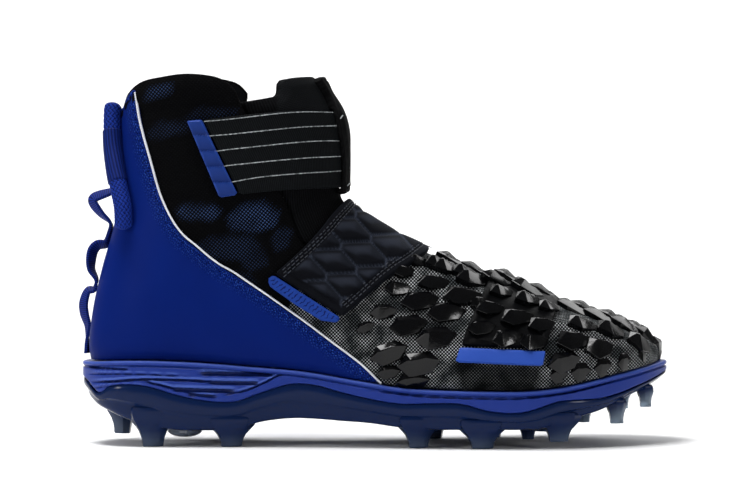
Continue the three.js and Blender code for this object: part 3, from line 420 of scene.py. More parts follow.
class Last:
    """The shape inside the shoe. A place on it is a row, 0 at the toe to 20 at the collar, and a turn from -1
    at the back over the outer side to 0 at the front ridge and over the inner side to 1 at the back."""

    ROWS = 401
    HALF = 240

    def __init__(self):
        x, z, middle, half, side = cross_section(np.linspace(0, 20, self.ROWS)[:, None],
                                                 np.linspace(0, math.pi, 1201)[None, :])
        z[0] = (z[0, 0] + z[0, -1]) / 2
        halves = []
        for sign in (-1, 1):
            y = BALL * (middle + sign * half * side)
            points = np.stack([x, y, z], 2)
            step = np.linalg.norm(np.diff(points, axis=1), axis=2)
            walk = np.concatenate([np.zeros((self.ROWS, 1)), np.cumsum(step, axis=1)], 1)
            fair = np.linspace(0, 1, self.HALF + 1)
            halves.append(np.stack([[np.interp(fair * walk[i, -1], walk[i], points[i, :, k])
                                     for k in range(3)] for i in range(self.ROWS)]).transpose(0, 2, 1))
            halves.append(walk[:, -1])
        self.grid = np.concatenate([halves[0][:, :0:-1], halves[2]], 1)
        self.round = (halves[1] + halves[3]) / 2
        self.face()
        self.grid = self.grid + self.normal * creases(self.grid)[..., None]
        self.face()
        middle_steps = np.linalg.norm(np.diff(self.grid[:, [self.HALF // 2, 3 * self.HALF // 2]], axis=0),
                                      axis=2)
        self.length = np.concatenate([[0], np.cumsum(middle_steps.mean(1))])

    def face(self):
        """Works out the outward direction at each point of the grid."""
        g = self.grid
        rows = np.gradient(g, axis=0)
        ring = np.concatenate([g[:, -2:-1], g, g[:, 1:2]], 1)
        normal = np.cross(ring[:, 2:] - ring[:, :-2], rows)
        size = np.linalg.norm(normal, axis=2, keepdims=True)
        normal = normal / np.maximum(size, 1e-9)
        normal[0] = [1, 0, 0]
        normal[1] = normal[2]
        self.normal = normal

    def at(self, row, turn):
        """Points and outward directions at rows and turns."""
        row, turn = np.broadcast_arrays(np.asarray(row, float), np.asarray(turn, float))
        i = np.clip(row / 20 * (self.ROWS - 1), 0, self.ROWS - 1.001)
        j = ((turn + 1) % 2) * self.HALF
        i0, j0 = np.floor(i).astype(int), np.minimum(np.floor(j).astype(int), 2 * self.HALF - 1)
        fi, fj = (i - i0)[..., None], (j - j0)[..., None]
        out = []
        for grid in (self.grid, self.normal):
            low = grid[i0, j0] * (1 - fj) + grid[i0, j0 + 1] * fj
            high = grid[i0 + 1, j0] * (1 - fj) + grid[i0 + 1, j0 + 1] * fj
            out.append(low * (1 - fi) + high * fi)
        return out[0], unit(out[1])

    def cloth(self, row, turn):
        """Millimetres along the shoe from the toe and around it from the ridge, for weaves and prints."""
        i = np.clip(np.asarray(row) / 20 * (self.ROWS - 1), 0, self.ROWS - 1)
        u = np.interp(i, np.arange(self.ROWS), self.length)
        return u, np.asarray(turn) * np.interp(i, np.arange(self.ROWS), self.round)

    def find(self, x, z, side):
        """Row and turn of the places that side view shows at x and z, on the outer (-1) or inner (1) side."""
        x, z = np.atleast_1d(x).astype(float), np.atleast_1d(z).astype(float)
        columns = np.arange(0, self.HALF + 1, 2) if side < 0 else np.arange(self.HALF, 2 * self.HALF + 1, 2)
        part = self.grid[::2, columns]
        flat = part.reshape(-1, 3)
        rows, turns = [], []
        for px, pz in zip(x, z):
            best = np.argmin((flat[:, 0] - px) ** 2 + (flat[:, 2] - pz) ** 2)
            rows.append((best // len(columns)) * 2 * 20 / (self.ROWS - 1))
            turns.append(columns[best % len(columns)] / self.HALF - 1)
        row, turn = np.array(rows, float), np.array(turns, float)
        for _ in range(4):
            p = self.at(row, turn)[0]
            er, et = 0.02, 0.004
            pr = (self.at(row + er, turn)[0] - p) / er
            pt = (self.at(row, turn + et)[0] - p) / et
            det = pr[:, 0] * pt[:, 2] - pr[:, 2] * pt[:, 0]
            good = np.abs(det) > 20
            dx, dz = x - p[:, 0], z - p[:, 2]
            safe = np.where(good, det, 1)
            dr = np.where(good, (dx * pt[:, 2] - dz * pt[:, 0]) / safe, 0)
            dt = np.where(good, (dz * pr[:, 0] - dx * pr[:, 2]) / safe, 0)
            row = np.clip(row + np.clip(dr, -0.3, 0.3), 0, 20)
            turn = turn + np.clip(dt, -0.03, 0.03)
            turn = np.clip(turn, -1.02, 0) if side < 0 else np.clip(turn, 0, 1.02)
        return row, turn

    def wrap(self, row, turn, run, across, lift, ahead):
        """Places a flat pattern on the last: run millimetres ahead, across towards the outer side."""
        er, et = 0.02, 0.002
        p = self.at(row, turn)[0]
        pr = (self.at(row + er, turn)[0] - p) / er
        pt = (self.at(row, turn + et)[0] - p) / et
        normal = self.at(row, turn)[1]
        toe = unit(ahead - normal * (ahead @ normal))
        aside = -unit(pt - toe * (pt @ toe))
        a, b, c = pr @ pr, pr @ pt, pt @ pt
        det = a * c - b * b
        way = np.asarray(run)[..., None] * toe + np.asarray(across)[..., None] * aside
        gr, gt = way @ pr, way @ pt
        point, normal = self.at(row + (c * gr - b * gt) / det, turn + (a * gt - b * gr) / det)
        return point + normal * np.asarray(lift)[..., None]


def creases(points):
    """How far the cloth is pushed in or out at each point, from the table of creases."""
    x, y, z = points[..., 0], points[..., 1], points[..., 2]
    depth = np.zeros(x.shape)
    for side, x0, z0, x1, z1, width, amount in CREASES:
        ax, az, bx, bz = x0 * LENGTH, z0 * COLLAR, x1 * LENGTH, z1 * COLLAR
        size = math.hypot(bx - ax, bz - az)
        t = ((x - ax) * (bx - ax) + (z - az) * (bz - az)) / size ** 2
        off = ((x - ax) * (bz - az) - (z - az) * (bx - ax)) / size
        bend = width * 0.8 * np.sin(t * math.pi)
        fade = soft_step(t, -0.15, 0.25) * (1 - soft_step(t, 0.75, 1.15))
        keep = 1 if side == 0 else soft_step(y * side, 0, 8)
        trough = np.exp(-(((off - bend) / width) ** 2))
        ridge = np.exp(-(((off - bend - width * 1.9) / (width * 1.2)) ** 2))
        depth += fade * keep * amount * (ridge * 0.45 - trough)
    return depth


# Regions in side view
FAR_OUTSIDE = -50.0


def outline_distance(x, z, outline):
    """Distance from a closed outline in side view, positive inside."""
    p = np.asarray(outline, float)
    q = np.roll(p, -1, axis=0)
    flat_x, flat_z = x.ravel(), z.ravel()
    out = np.empty(flat_x.shape)
    for start in range(0, len(flat_x), 20000):
        cx, cz = flat_x[start:start + 20000, None], flat_z[start:start + 20000, None]
        dx, dz = q[:, 0] - p[:, 0], q[:, 1] - p[:, 1]
        t = np.clip(((cx - p[:, 0]) * dx + (cz - p[:, 1]) * dz) / (dx * dx + dz * dz + 1e-12), 0, 1)
        near = np.sqrt(((cx - p[:, 0] - dx * t) ** 2 + (cz - p[:, 1] - dz * t) ** 2).min(1))
        crossing = ((p[:, 1] > cz) != (q[:, 1] > cz)) & (
            cx < (q[:, 0] - p[:, 0]) * (cz - p[:, 1]) / (q[:, 1] - p[:, 1] + 1e-12) + p[:, 0])
        out[start:start + 20000] = np.where(crossing.sum(1) % 2 == 1, near, -near)
    return out.reshape(x.shape)


def within(outer, inner=None, above=True):
    """A region of the last: an outline for the outer side, one for the inner side, and all above the sole."""
    def region(points):
        x, y, z = points[..., 0], points[..., 1], points[..., 2]
        inside = outline_distance(x, z, outer)
        if inner is None:
            d = np.minimum(np.where(y < 0, inside, FAR_OUTSIDE), -y)
        else:
            d = np.where(y < 0, inside, inside if inner is outer else outline_distance(x, z, inner))
        return np.minimum(d, z - sole_height(1, x) - GAP) if above else d
    return region


# Meshes
def fresh_mesh(name, points, faces, uv=None, edge=None, materials=None):
    """Makes an object from millimetre points on the last, with its own cloth millimetres and edge distance."""
    mesh = bpy.data.meshes.new(name)
    mesh.from_pydata(((np.asarray(points) + SHIFT) * MM).tolist(), [], [list(map(int, f)) for f in faces])
    if uv is not None:
        layer = mesh.uv_layers.new(name="cloth")
        corners = np.empty(len(mesh.loops), int)
        mesh.loops.foreach_get("vertex_index", corners)
        layer.data.foreach_set("uv", np.asarray(uv, float)[corners].astype(np.float32).ravel())
    if edge is not None:
        attribute = mesh.attributes.new("edge", "FLOAT", "POINT")
        attribute.data.foreach_set("value", np.asarray(edge, np.float32))
    if materials is not None:
        mesh.polygons.foreach_set("material_index", np.asarray(materials, np.int32))
    mesh.update()
    obj = bpy.data.objects.new(name, mesh)
    bpy.context.scene.collection.objects.link(obj)
    return obj


def only(obj):
    """Selects one object and nothing else."""
    bpy.ops.object.select_all(action="DESELECT")
    obj.select_set(True)
    bpy.context.view_layer.objects.active = obj


def weld(obj, distance=0.01):
    """Merges doubled points and drops faces without area."""
    only(obj)
    bpy.ops.object.mode_set(mode="EDIT")
    bpy.ops.mesh.select_all(action="SELECT")
    bpy.ops.mesh.remove_doubles(threshold=distance * MM)
    bpy.ops.mesh.dissolve_degenerate(threshold=0.001 * MM)
    bpy.ops.object.mode_set(mode="OBJECT")


def smooth(obj, angle=38):
    """Shades smooth where faces meet at less than an angle in degrees."""
    only(obj)
    bpy.ops.object.shade_smooth_by_angle(angle=math.radians(angle))


def finish_piece(obj, materials, nodes=(), angle=38):
    """Gives a piece its finishes, its smooth shading and its place in the shoe."""
    for material in materials:
        obj.data.materials.append(material)
    smooth(obj, angle)
    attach(obj, "root")
    if nodes:
        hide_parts(*nodes)


def raised(last, row, turn, height):
    """Points at a height off the last."""
    point, normal = last.at(row, turn)
    return point + normal * height


def settle(last, row, turn, region, target, rounds=3, limit=1.5, height=0.0):
    """Moves places on the last until they lie a target distance inside a region, seen at a height."""
    row, turn = np.array(row, float), np.array(turn, float)
    for _ in range(rounds):
        er, et = 0.02, 0.002
        p = raised(last, row, turn, height)
        pr = (raised(last, row + er, turn, height) - p) / er
        pt = (raised(last, row, turn + et, height) - p) / et
        d = region(p)
        dr = (region(p + pr * er) - d) / er
        dt = (region(p + pt * et) - d) / et
        a, b, c = (pr * pr).sum(-1), (pr * pt).sum(-1), (pt * pt).sum(-1)
        det = np.maximum(a * c - b * b, 1e-6)
        ir, it = (c * dr - b * dt) / det, (a * dt - b * dr) / det
        steep = np.sqrt(np.maximum(dr * ir + dt * it, 1e-9))
        miss = target * np.clip(steep, 0.35, 1.2) - d
        length = np.clip(miss / steep, -limit, limit) / steep
        row = np.clip(row + length * ir, 0, 20)
        turn = turn + length * it
    return row, turn


def shell(name, last, region, low, high, rows, turns, cell, radius=1.0, lift=None, round_steps=3, wrap=False,
          lined=False):
    """A sheet of cloth on the last, trimmed to a region, with rounded edges: from low to high off the last.
    lift(points, distance) raises its top. The second material lies under a lined sheet."""
    middle_row = np.linspace(rows[0], rows[1], 9)
    u = last.cloth(middle_row, 0)[0]
    count_r = max(6, int(abs(u[-1] - u[0]) / cell) + 2)
    width = np.interp(np.mean(rows), np.linspace(0, 20, last.ROWS), last.round)
    count_t = max(6, int(abs(turns[1] - turns[0]) * width / cell) + 2)
    r_line = np.interp(np.linspace(u[0], u[-1], count_r), u, middle_row)
    t_line = np.linspace(turns[0], turns[1], count_t, endpoint=not wrap)
    row, turn = np.meshgrid(r_line, t_line, indexing="ij")
    point = raised(last, row, turn, high)
    d = region(point)

    def slope(value, axis):
        if wrap and axis == 1:
            return (np.roll(value, -1, axis=1) - np.roll(value, 1, axis=1)) / 2
        return np.gradient(value, axis=axis)
    pi, pj, di, dj = slope(point, 0), slope(point, 1), slope(d, 0), slope(d, 1)
    a, b, c = (pi * pi).sum(-1), (pi * pj).sum(-1), (pj * pj).sum(-1)
    det = np.maximum(a * c - b * b, 1e-6)
    steep = np.sqrt(np.clip((c * di * di - 2 * b * di * dj + a * dj * dj) / det, 0.1225, 1.44))
    true = d / steep
    reach = 0.55 * np.maximum(np.abs(di), np.abs(dj)) / steep
    snap = np.abs(true - radius) < reach
    if snap.any():
        row[snap], turn[snap] = settle(last, row[snap], turn[snap], region, radius, 4, 1.5, high)
        true[snap] = radius
    index = np.arange(row.size).reshape(row.shape)
    right = np.roll(index, -1, axis=1) if wrap else index[:, 1:]
    left = index if wrap else index[:, :-1]
    quads = np.stack([left[:-1], right[:-1], right[1:], left[1:]], -1).reshape(-1, 4)
    flat_in = (true >= radius - 1e-6).ravel()
    count = flat_in[quads].sum(1)
    tops = [tuple(q) for q in quads[count == 4]]
    for q in quads[count == 3]:
        tops.append(tuple(v for v in q if flat_in[v]))
    used = np.unique(np.concatenate([np.array(f) for f in tops]))
    renumber = {int(v): k for k, v in enumerate(used)}
    tops = [tuple(renumber[int(v)] for v in f) for f in tops]
    r, t, e = row.ravel()[used], turn.ravel()[used], true.ravel()[used]
    directed = {(f[k], f[(k + 1) % len(f)]) for f in tops for k in range(len(f))}
    rim = [(x, y) for x, y in directed if (y, x) not in directed]
    rim_points = sorted({x for pair in rim for x in pair})
    place = {v: k for k, v in enumerate(rim_points)}
    count_top, count_rim = len(used), len(rim_points)

    def lifted(rr, tt, dd, drop):
        p, n = last.at(rr, tt)
        extra = lift(p + n * high, dd) if lift else np.zeros(len(rr))
        return p + n * (high + extra - drop)[..., None]
    points, edges, params = [lifted(r, t, e, 0.0)], [e], [(r, t)]
    rr, tt = r[rim_points], t[rim_points]
    thick = high - (low if not callable(low) else float(np.mean(low(last.at(r, t)[0]))))
    bulge = min(radius, thick * 0.5)
    for k in range(1, round_steps + 1):
        phi = k / round_steps * math.pi / 2
        target = radius * (1 - math.sin(phi))
        rr, tt = settle(last, rr, tt, region, target, 2, radius, high)
        points.append(lifted(rr, tt, np.full(len(rr), target), bulge * (1 - math.cos(phi))))
        edges.append(np.full(len(rr), target))
        params.append((rr, tt))
    base = count_top + (round_steps + 1) * count_rim
    faces = list(tops)
    for x, y in rim:
        before_x, before_y = x, y
        for k in range(round_steps + 1):
            after_x = count_top + k * count_rim + place[x]
            after_y = count_top + k * count_rim + place[y]
            faces.append((before_y, before_x, after_x, after_y))
            before_x, before_y = after_x, after_y
        faces.append((before_y, before_x, base + x, base + y))

    def seat(rr_, tt_):
        p, n = last.at(rr_, tt_)
        return p + n * (low(p)[..., None] if callable(low) else low)
    points += [seat(rr, tt), seat(r, t)]
    edges += [np.zeros(len(rr)), e]
    params += [(rr, tt), (r, t)]
    kind = [0] * len(faces) + [int(lined)] * len(tops)
    faces += [tuple(base + v for v in reversed(f)) for f in tops]
    u, v = last.cloth(np.concatenate([p[0] for p in params]), np.concatenate([p[1] for p in params]))
    return fresh_mesh(name, np.vstack(points), faces, np.stack([u, v], 1), np.concatenate(edges), kind)


def line_frame(path, normals):
    """At each point of a path, the direction to its side and the one that stands up from it."""
    tangent = unit(np.gradient(path, axis=0))
    side = unit(np.cross(tangent, normals))
    return side[:, None], np.cross(side, tangent)[:, None]


def tube_faces(count, around):
    """Faces of rings joined up along a path and closed at both ends."""
    faces = []
    for i in range(count - 1):
        for j in range(around):
            k = (j + 1) % around
            faces.append((i * around + j, i * around + k, (i + 1) * around + k, (i + 1) * around + j))
    return faces + [tuple(range(around))[::-1], tuple((count - 1) * around + j for j in range(around))]


def swept(path, normals, profile):
    """A profile (side, height) swept along a path, standing on the given directions."""
    profile = np.asarray(profile, float)
    side, up = line_frame(path, normals)
    points = path[:, None] + side * profile[None, :, 0:1] + up * profile[None, :, 1:2]
    uv = np.stack([np.repeat(run_of(path), len(profile)), np.tile(run_of(profile), len(path))], 1)
    return points.reshape(-1, 3), tube_faces(len(path), len(profile)), uv


def oval(width, height, count=10):
    """Points of an oval profile."""
    angle = np.linspace(0, 2 * math.pi, count, endpoint=False)
    return np.stack([np.cos(angle) * width / 2, np.sin(angle) * height / 2], 1)


def gather(parts):
    """Joins lists of points, faces and cloth places to one of each."""
    faces, base = [], 0
    for part in parts:
        faces += [tuple(base + v for v in f) for f in part[1]]
        base += len(part[0])
    uv = np.vstack([part[2] for part in parts]) if len(parts[0]) > 2 else None
    return np.vstack([part[0] for part in parts]), faces, uv


def on_side(last, line, side, lift, step=0.8):
    """A line in side view laid on the last: its points, raised by lift, and the outward directions."""
    walked = even(line, step)
    row, turn = last.find(walked[:, 0], walked[:, 1], side)
    point, normal = last.at(row, turn)
    apart = np.concatenate([[True], np.linalg.norm(np.diff(point, axis=0), axis=1) > 0.15])
    return (point + normal * lift)[apart], normal[apart]


def stitches(last, line, side, lift, length=2.2, pitch=3.2, thickness=0.55):
    """Separate stitches along a line in side view, each a small thread dipping into the cloth at both ends."""
    point, normal = on_side(last, line, side, lift, 0.4)
    along = run_of(point)
    parts = []
    at = 0.6
    while at + length < along[-1]:
        walk = np.linspace(at, at + length, 5)
        p = np.stack([np.interp(walk, along, point[:, k]) for k in range(3)], 1)
        n = unit(np.stack([np.interp(walk, along, normal[:, k]) for k in range(3)], 1))
        p = p + n * (np.array([-0.45, 0.05, 0.2, 0.05, -0.45]) * thickness)[:, None]
        parts.append(swept(p, n, oval(thickness, thickness * 0.7, 6)))
        at += pitch
    return parts


# Finishes
# Settings of a mix between two colours and of a product
BLEND = {"out": 2, "data_type": "RGBA"}
TIMES = {"operation": "MULTIPLY"}


def linear(code):
    """An sRGB hex code as the linear colour that the shaders use."""
    values = [int(code[i:i + 2], 16) / 255 for i in (1, 3, 5)]
    return tuple(v / 12.92 if v <= 0.04045 else ((v + 0.055) / 1.055) ** 2.4 for v in values) + (1.0,)


def add(tree, kind, inputs=None, out=0, **settings):
    """Adds a node with its settings, fills or joins its inputs and gives back one of its outputs.
    A hex code among the inputs becomes a linear colour."""
    item = tree.nodes.new("ShaderNode" + kind)
    for key, value in settings.items():
        setattr(item, key, value)
    for key, value in (inputs or {}).items():
        if isinstance(value, bpy.types.NodeSocket):
            tree.links.new(value, item.inputs[key])
        else:
            item.inputs[key].default_value = linear(value) if isinstance(value, str) else value
    return item.outputs[out] if item.outputs else None


def new_finish(name):
    """An empty material and the tree to work in."""
    material = bpy.data.materials.new(name)
    material.use_nodes = True
    material.node_tree.nodes.clear()
    return material, material.node_tree


def cloth_mm(tree, turn=0.0, scale=(1, 1, 1)):
    """Millimetres along and around the piece, turned and scaled."""
    return add(tree, "Mapping", {"Vector": add(tree, "UVMap", uv_map="cloth"),
                                 "Rotation": (0, 0, math.radians(turn)),
                                 "Scale": scale})


def shoe_mm(tree, turn=(0, 0, 0)):
    """Millimetres in the shoe's own frame."""
    return add(tree, "Mapping", {"Vector": add(tree, "TexCoord", None, "Object"), "Scale": (1000, 1000, 1000),
                                 "Rotation": turn})


def loops(tree, vector, pitch, size, jitter=0.0):
    """One where a loop of a knit is, nought between them."""
    gap = add(tree, "TexVoronoi", {"Vector": vector, "Scale": 1.0 / pitch, "Randomness": jitter}, "Distance",
              voronoi_dimensions="2D")
    return add(tree, "MapRange", {0: gap, 1: size * 1.2, 2: size * 0.7}, interpolation_type="SMOOTHSTEP")


def clouded(tree, vector, scale, dark, light):
    """A colour that drifts between two in soft clouds."""
    return add(tree, "Mix", {0: add(tree, "TexNoise", {"Vector": vector, "Scale": scale}, "Fac"), 6: dark,
                             7: light},
               **BLEND)


def ridges(pitch):
    """Scale of a wave whose ridges lie a pitch apart."""
    return math.pi / (10 * pitch)


def surfaced(material, tree, colour, roughness, shine, relief=None, more=None):
    """Ends a finish: its surface and its relief, given as height, strength and depth in millimetres."""
    inputs = {"Base Color": colour, "Roughness": roughness, "Specular IOR Level": shine, **(more or {})}
    if relief:
        height, strength, depth = relief
        inputs["Normal"] = add(tree, "Bump", {"Height": height, "Strength": strength, "Distance": depth * MM})
    add(tree, "OutputMaterial", {"Surface": add(tree, "BsdfPrincipled", inputs)})
    return material


def finish_bootie(colours):
    """Knitted polyester: matt black yarn, with open zones where blue-grey yarn shows through as dots."""
    material, tree = new_finish("knitted_polyester_bootie")
    # Yarn loops 1.35 mm apart: coarser than the real 0.8 mm, so that they show at half a millimetre a pixel.
    spots = loops(tree, cloth_mm(tree, 38), 1.35, 0.30)
    zone = add(tree, "Attribute", None, "Fac", attribute_name="zone")
    patchy = add(tree, "TexNoise", {"Vector": cloth_mm(tree), "Scale": 0.07, "Detail": 2.0}, "Fac")
    show = add(tree, "Math", {0: add(tree, "Math", {0: spots, 1: zone}, **TIMES),
                              1: add(tree, "MapRange", {0: patchy, 1: 0.35, 2: 0.6, 3: 0.45, 4: 1.0})},
               **TIMES)
    yarn = add(tree, "Mix", {0: spots, 6: colours.cloth_dark, 7: "#090A0C"}, **BLEND)
    back = add(tree, "Mix", {0: show, 6: yarn, 7: "#3A4F7A"}, **BLEND)
    # The vamp's open mesh: light grey threads on black, 1.2 mm apart.
    mesh_dots = loops(tree, cloth_mm(tree, 45), 1.2, 0.31)
    vamp = add(tree, "Attribute", None, "Fac", attribute_name="vamp")
    plain = add(tree, "Attribute", None, "Fac", attribute_name="plain")
    open_mesh = add(tree, "Math", {0: mesh_dots, 1: add(tree, "MapRange",
                                                        {0: plain, 1: 0.75, 2: 0.25, 3: 0.14, 4: 1.0})},
                    **TIMES)
    tired = add(tree, "TexNoise", {"Vector": cloth_mm(tree), "Scale": 0.09, "Detail": 3.0}, "Fac")
    grey = add(tree, "Mix", {0: add(tree, "MapRange", {0: tired, 1: 0.38, 2: 0.62}), 6: "#45494C",
                             7: "#B4B8BA"}, **BLEND)
    front = add(tree, "Mix", {0: open_mesh, 6: "#030404", 7: grey}, **BLEND)
    on_vamp = add(tree, "MapRange", {0: vamp, 1: 0.46, 2: 0.54})
    colour = add(tree, "Mix", {0: on_vamp, 6: back, 7: front}, **BLEND)
    rib = add(tree, "TexWave", {"Vector": cloth_mm(tree), "Scale": ridges(0.9), "Distortion": 0.3}, "Fac",
              bands_direction="Y")
    relief = add(tree, "Math", {0: spots, 1: 0.5, 2: add(tree, "Math", {0: rib, 1: 0.4}, **TIMES)},
                 operation="MULTIPLY_ADD")
    height = add(tree, "Mix", {0: on_vamp, 2: relief, 3: mesh_dots})
    return surfaced(material, tree, colour, 0.85, 0.03, (height, 0.3, 0.8))


def finish_lining():
    """Brushed tricot lining: dull, soft and a little lighter than the knit."""
    material, tree = new_finish("brushed_tricot_lining")
    nap_and_painted_pad_light = add(tree, "TexNoise", {"Vector": cloth_mm(tree), "Scale": 1.1, "Detail": 4.0}, "Fac")
    colour = clouded(tree, cloth_mm(tree), 0.3, "#08080A", "#131417")
    return surfaced(material, tree, colour, 0.95, 0.03, (nap_and_painted_pad_light, 0.3, 0.7), {"Sheen Weight": 0.03})


def finish_film(colours):
    """Coated microfibre: deep smooth blue with a low shine, and a stippled band along its piped edge."""
    material, tree = new_finish("coated_microfibre_quarter")
    base = clouded(tree, cloth_mm(tree), 0.03, colours.quarter_blue, "#09206A")
    band = add(tree, "Attribute", None, "Fac", attribute_name="band")
    near = add(tree, "Math", {0: add(tree, "MapRange", {0: band, 1: 0.9, 2: 1.8}),
                              1: add(tree, "MapRange", {0: band, 1: 9.0, 2: 3.0})}, **TIMES)
    # Pin-holes about 0.5 mm wide and 1.5 mm apart, in a loose band 7 mm wide.
    scatter = add(tree, "TexNoise", {"Vector": cloth_mm(tree), "Scale": 0.5, "Detail": 2.0}, "Fac")
    loose = add(tree, "Math", {0: near, 1: add(tree, "MapRange", {0: scatter, 1: 0.40, 2: 0.60})},
                **TIMES)
    light = add(tree, "Math", {0: loops(tree, cloth_mm(tree, 30), 1.25, 0.26, 0.5), 1: loose},
                **TIMES)
    dark = add(tree, "Math", {0: loops(tree, cloth_mm(tree, 75), 1.15, 0.33, 0.5), 1: near},
               **TIMES)
    pitted = add(tree, "Mix", {0: dark, 6: base, 7: "#02061A"}, **BLEND)
    colour = add(tree, "Mix", {0: add(tree, "Math", {0: light, 1: 0.75}, **TIMES), 6: pitted,
                               7: "#3358B4"}, **BLEND)
    grain = add(tree, "TexNoise", {"Vector": cloth_mm(tree), "Scale": 1.6, "Detail": 3.0}, "Fac")
    relief = add(tree, "Math", {0: dark, 1: -0.8, 2: add(tree, "Math", {0: grain, 1: 0.25},
                                                         **TIMES)},
                 operation="MULTIPLY_ADD")
    return surfaced(material, tree, colour, 0.45, 0.02, (relief, 0.12, 0.6))


def finish_piping():
    """Folded polyester edging: white, matt, with a fine twist."""
    material, tree = new_finish("polyester_piping")
    twist = add(tree, "TexWave", {"Vector": cloth_mm(tree, 35), "Scale": ridges(0.7)}, "Fac")
    colour = add(tree, "Mix", {0: twist, 6: "#B9BFCC", 7: "#F6F7F8"}, **BLEND)
    return surfaced(material, tree, colour, 0.6, 0.5, (twist, 0.1, 0.4))


def finish_strap():
    """Elastic webbing of the ankle strap: charcoal, woven in fine upright ribs."""
    material, tree = new_finish("elastic_webbing_strap")
    ribs = add(tree, "TexWave", {"Vector": cloth_mm(tree), "Scale": ridges(1.05), "Distortion": 0.5}, "Fac",
               bands_direction="Y")
    weft = add(tree, "TexWave", {"Vector": cloth_mm(tree), "Scale": ridges(0.8), "Distortion": 0.4}, "Fac",
               bands_direction="X")
    weave = add(tree, "Math", {0: ribs, 1: weft}, **TIMES)
    colour = add(tree, "Mix", {0: weave, 6: "#030405", 7: "#1B1F22"}, **BLEND)
    relief = add(tree, "Math", {0: weft, 1: 0.4, 2: ribs}, operation="MULTIPLY_ADD")
    return surfaced(material, tree, colour, 0.75, 0.06, (relief, 0.25, 0.6))


def finish_quilt():
    """Brushed nylon over foam: blue-black pile, rubbed lighter along the quilted valleys. The upper side of
    each pad carries a painted highlight, as if lit from above.
    """
    material, tree = new_finish("brushed_nylon_quilting")
    fuzz = add(tree, "TexNoise", {"Vector": cloth_mm(tree), "Scale": 1.3, "Detail": 4.0, "Roughness": 0.7},
               "Fac")
    seam = add(tree, "Attribute", None, "Fac", attribute_name="valley")
    worn = add(tree, "Math", {0: seam, 1: add(tree, "MapRange", {0: fuzz, 1: 0.25, 2: 0.62})},
               **TIMES)
    plain = clouded(tree, cloth_mm(tree), 0.12, "#07080C", "#0C0E14")
    # Painted highlight: the upper side of each pad is painted lighter, as if lit from above.
    nap_and_painted_pad_light = add(tree, "Attribute", None, "Fac", attribute_name="nap_and_painted_pad_light")
    cloth = add(tree, "Mix", {0: nap_and_painted_pad_light, 6: plain, 7: "#282C36"}, **BLEND)
    colour = add(tree, "Mix", {0: worn, 6: cloth, 7: "#3A404E"}, **BLEND)
    return surfaced(material, tree, colour, 0.85, 0.06, (fuzz, 0.25, 0.7),
                    {"Sheen Weight": 0.16, "Sheen Roughness": 0.35, "Sheen Tint": "#6A7488"})


def finish_shroud():
    """Plain-woven nylon of the front panel: black, dry and close."""
    material, tree = new_finish("woven_nylon_panel")
    warp = add(tree, "TexWave", {"Vector": cloth_mm(tree), "Scale": ridges(0.9), "Distortion": 0.5}, "Fac")
    weft = add(tree, "TexWave", {"Vector": cloth_mm(tree), "Scale": ridges(0.9), "Distortion": 0.5}, "Fac",
               bands_direction="Y")
    weave = add(tree, "Math", {0: warp, 1: weft}, **TIMES)
    colour = add(tree, "Mix", {0: weave, 6: "#040405", 7: "#111214"}, **BLEND)
    return surfaced(material, tree, colour, 0.8, 0.06, (weave, 0.25, 0.6))


def finish_tongue():
    """Spacer mesh: dark grey open loops over foam, ribbed lower down where the gusset stretches."""
    material, tree = new_finish("spacer_mesh_tongue")
    holes = loops(tree, cloth_mm(tree, 40), 1.35, 0.33, 0.15)
    pad = add(tree, "MapRange", {0: add(tree, "Attribute", None, "Fac", attribute_name="pad"), 1: 0.4, 2: 0.6})
    mesh = add(tree, "Mix", {0: holes, 6: "#141618", 7: "#040405"}, **BLEND)
    ribs = add(tree, "TexWave", {"Vector": cloth_mm(tree), "Scale": ridges(1.5)}, "Fac", bands_direction="Y")
    gusset = add(tree, "Mix", {0: ribs, 6: "#030304", 7: "#0C0D0F"}, **BLEND)
    colour = add(tree, "Mix", {0: pad, 6: gusset, 7: mesh}, **BLEND)
    height = add(tree, "Mix", {0: pad, 2: ribs, 3: add(tree, "Math", {0: 1.0, 1: holes}, operation="SUBTRACT")})
    return surfaced(material, tree, colour, 0.88, 0.04, (height, 0.35, 0.7))


def finish_tab(colours):
    """Moulded rubber tab: bright blue, satin, with a lighter rubbed edge, painted shade at the foot of each
    step and a painted highlight where the tab faces up.
    """
    material, tree = new_finish("moulded_rubber_tab")
    cloud = add(tree, "TexNoise", {"Vector": cloth_mm(tree), "Scale": 0.15}, "Fac")
    rim = add(tree, "MapRange", {0: add(tree, "Attribute", None, "Fac", attribute_name="edge"), 1: 0.0, 2: 1.2})
    body = add(tree, "Mix", {0: cloud, 6: colours.tab_blue, 7: "#143074"}, **BLEND)
    worn = add(tree, "Mix", {0: rim, 6: "#22449C", 7: body}, **BLEND)
    # Painted shade: each step of the ankle tab is painted darker towards its foot.
    painted_step_shade = add(tree, "Attribute", None, "Fac", attribute_name="painted_step_shade")
    # Painted highlight: a tab marked as sunlit is painted lighter all over.
    sunlit = add(tree, "Attribute", None, "Fac", attribute_name="sunlit")
    lit = add(tree, "Mix", {0: sunlit, 6: worn, 7: "#2C4CA4"}, **BLEND)
    colour = add(tree, "Mix", {0: painted_step_shade, 6: lit, 7: "#0C2058"}, **BLEND)
    grain = add(tree, "TexNoise", {"Vector": cloth_mm(tree), "Scale": 1.2, "Detail": 3.0}, "Fac")
    return surfaced(material, tree, colour, 0.45, 0.12, (grain, 0.15, 0.5))


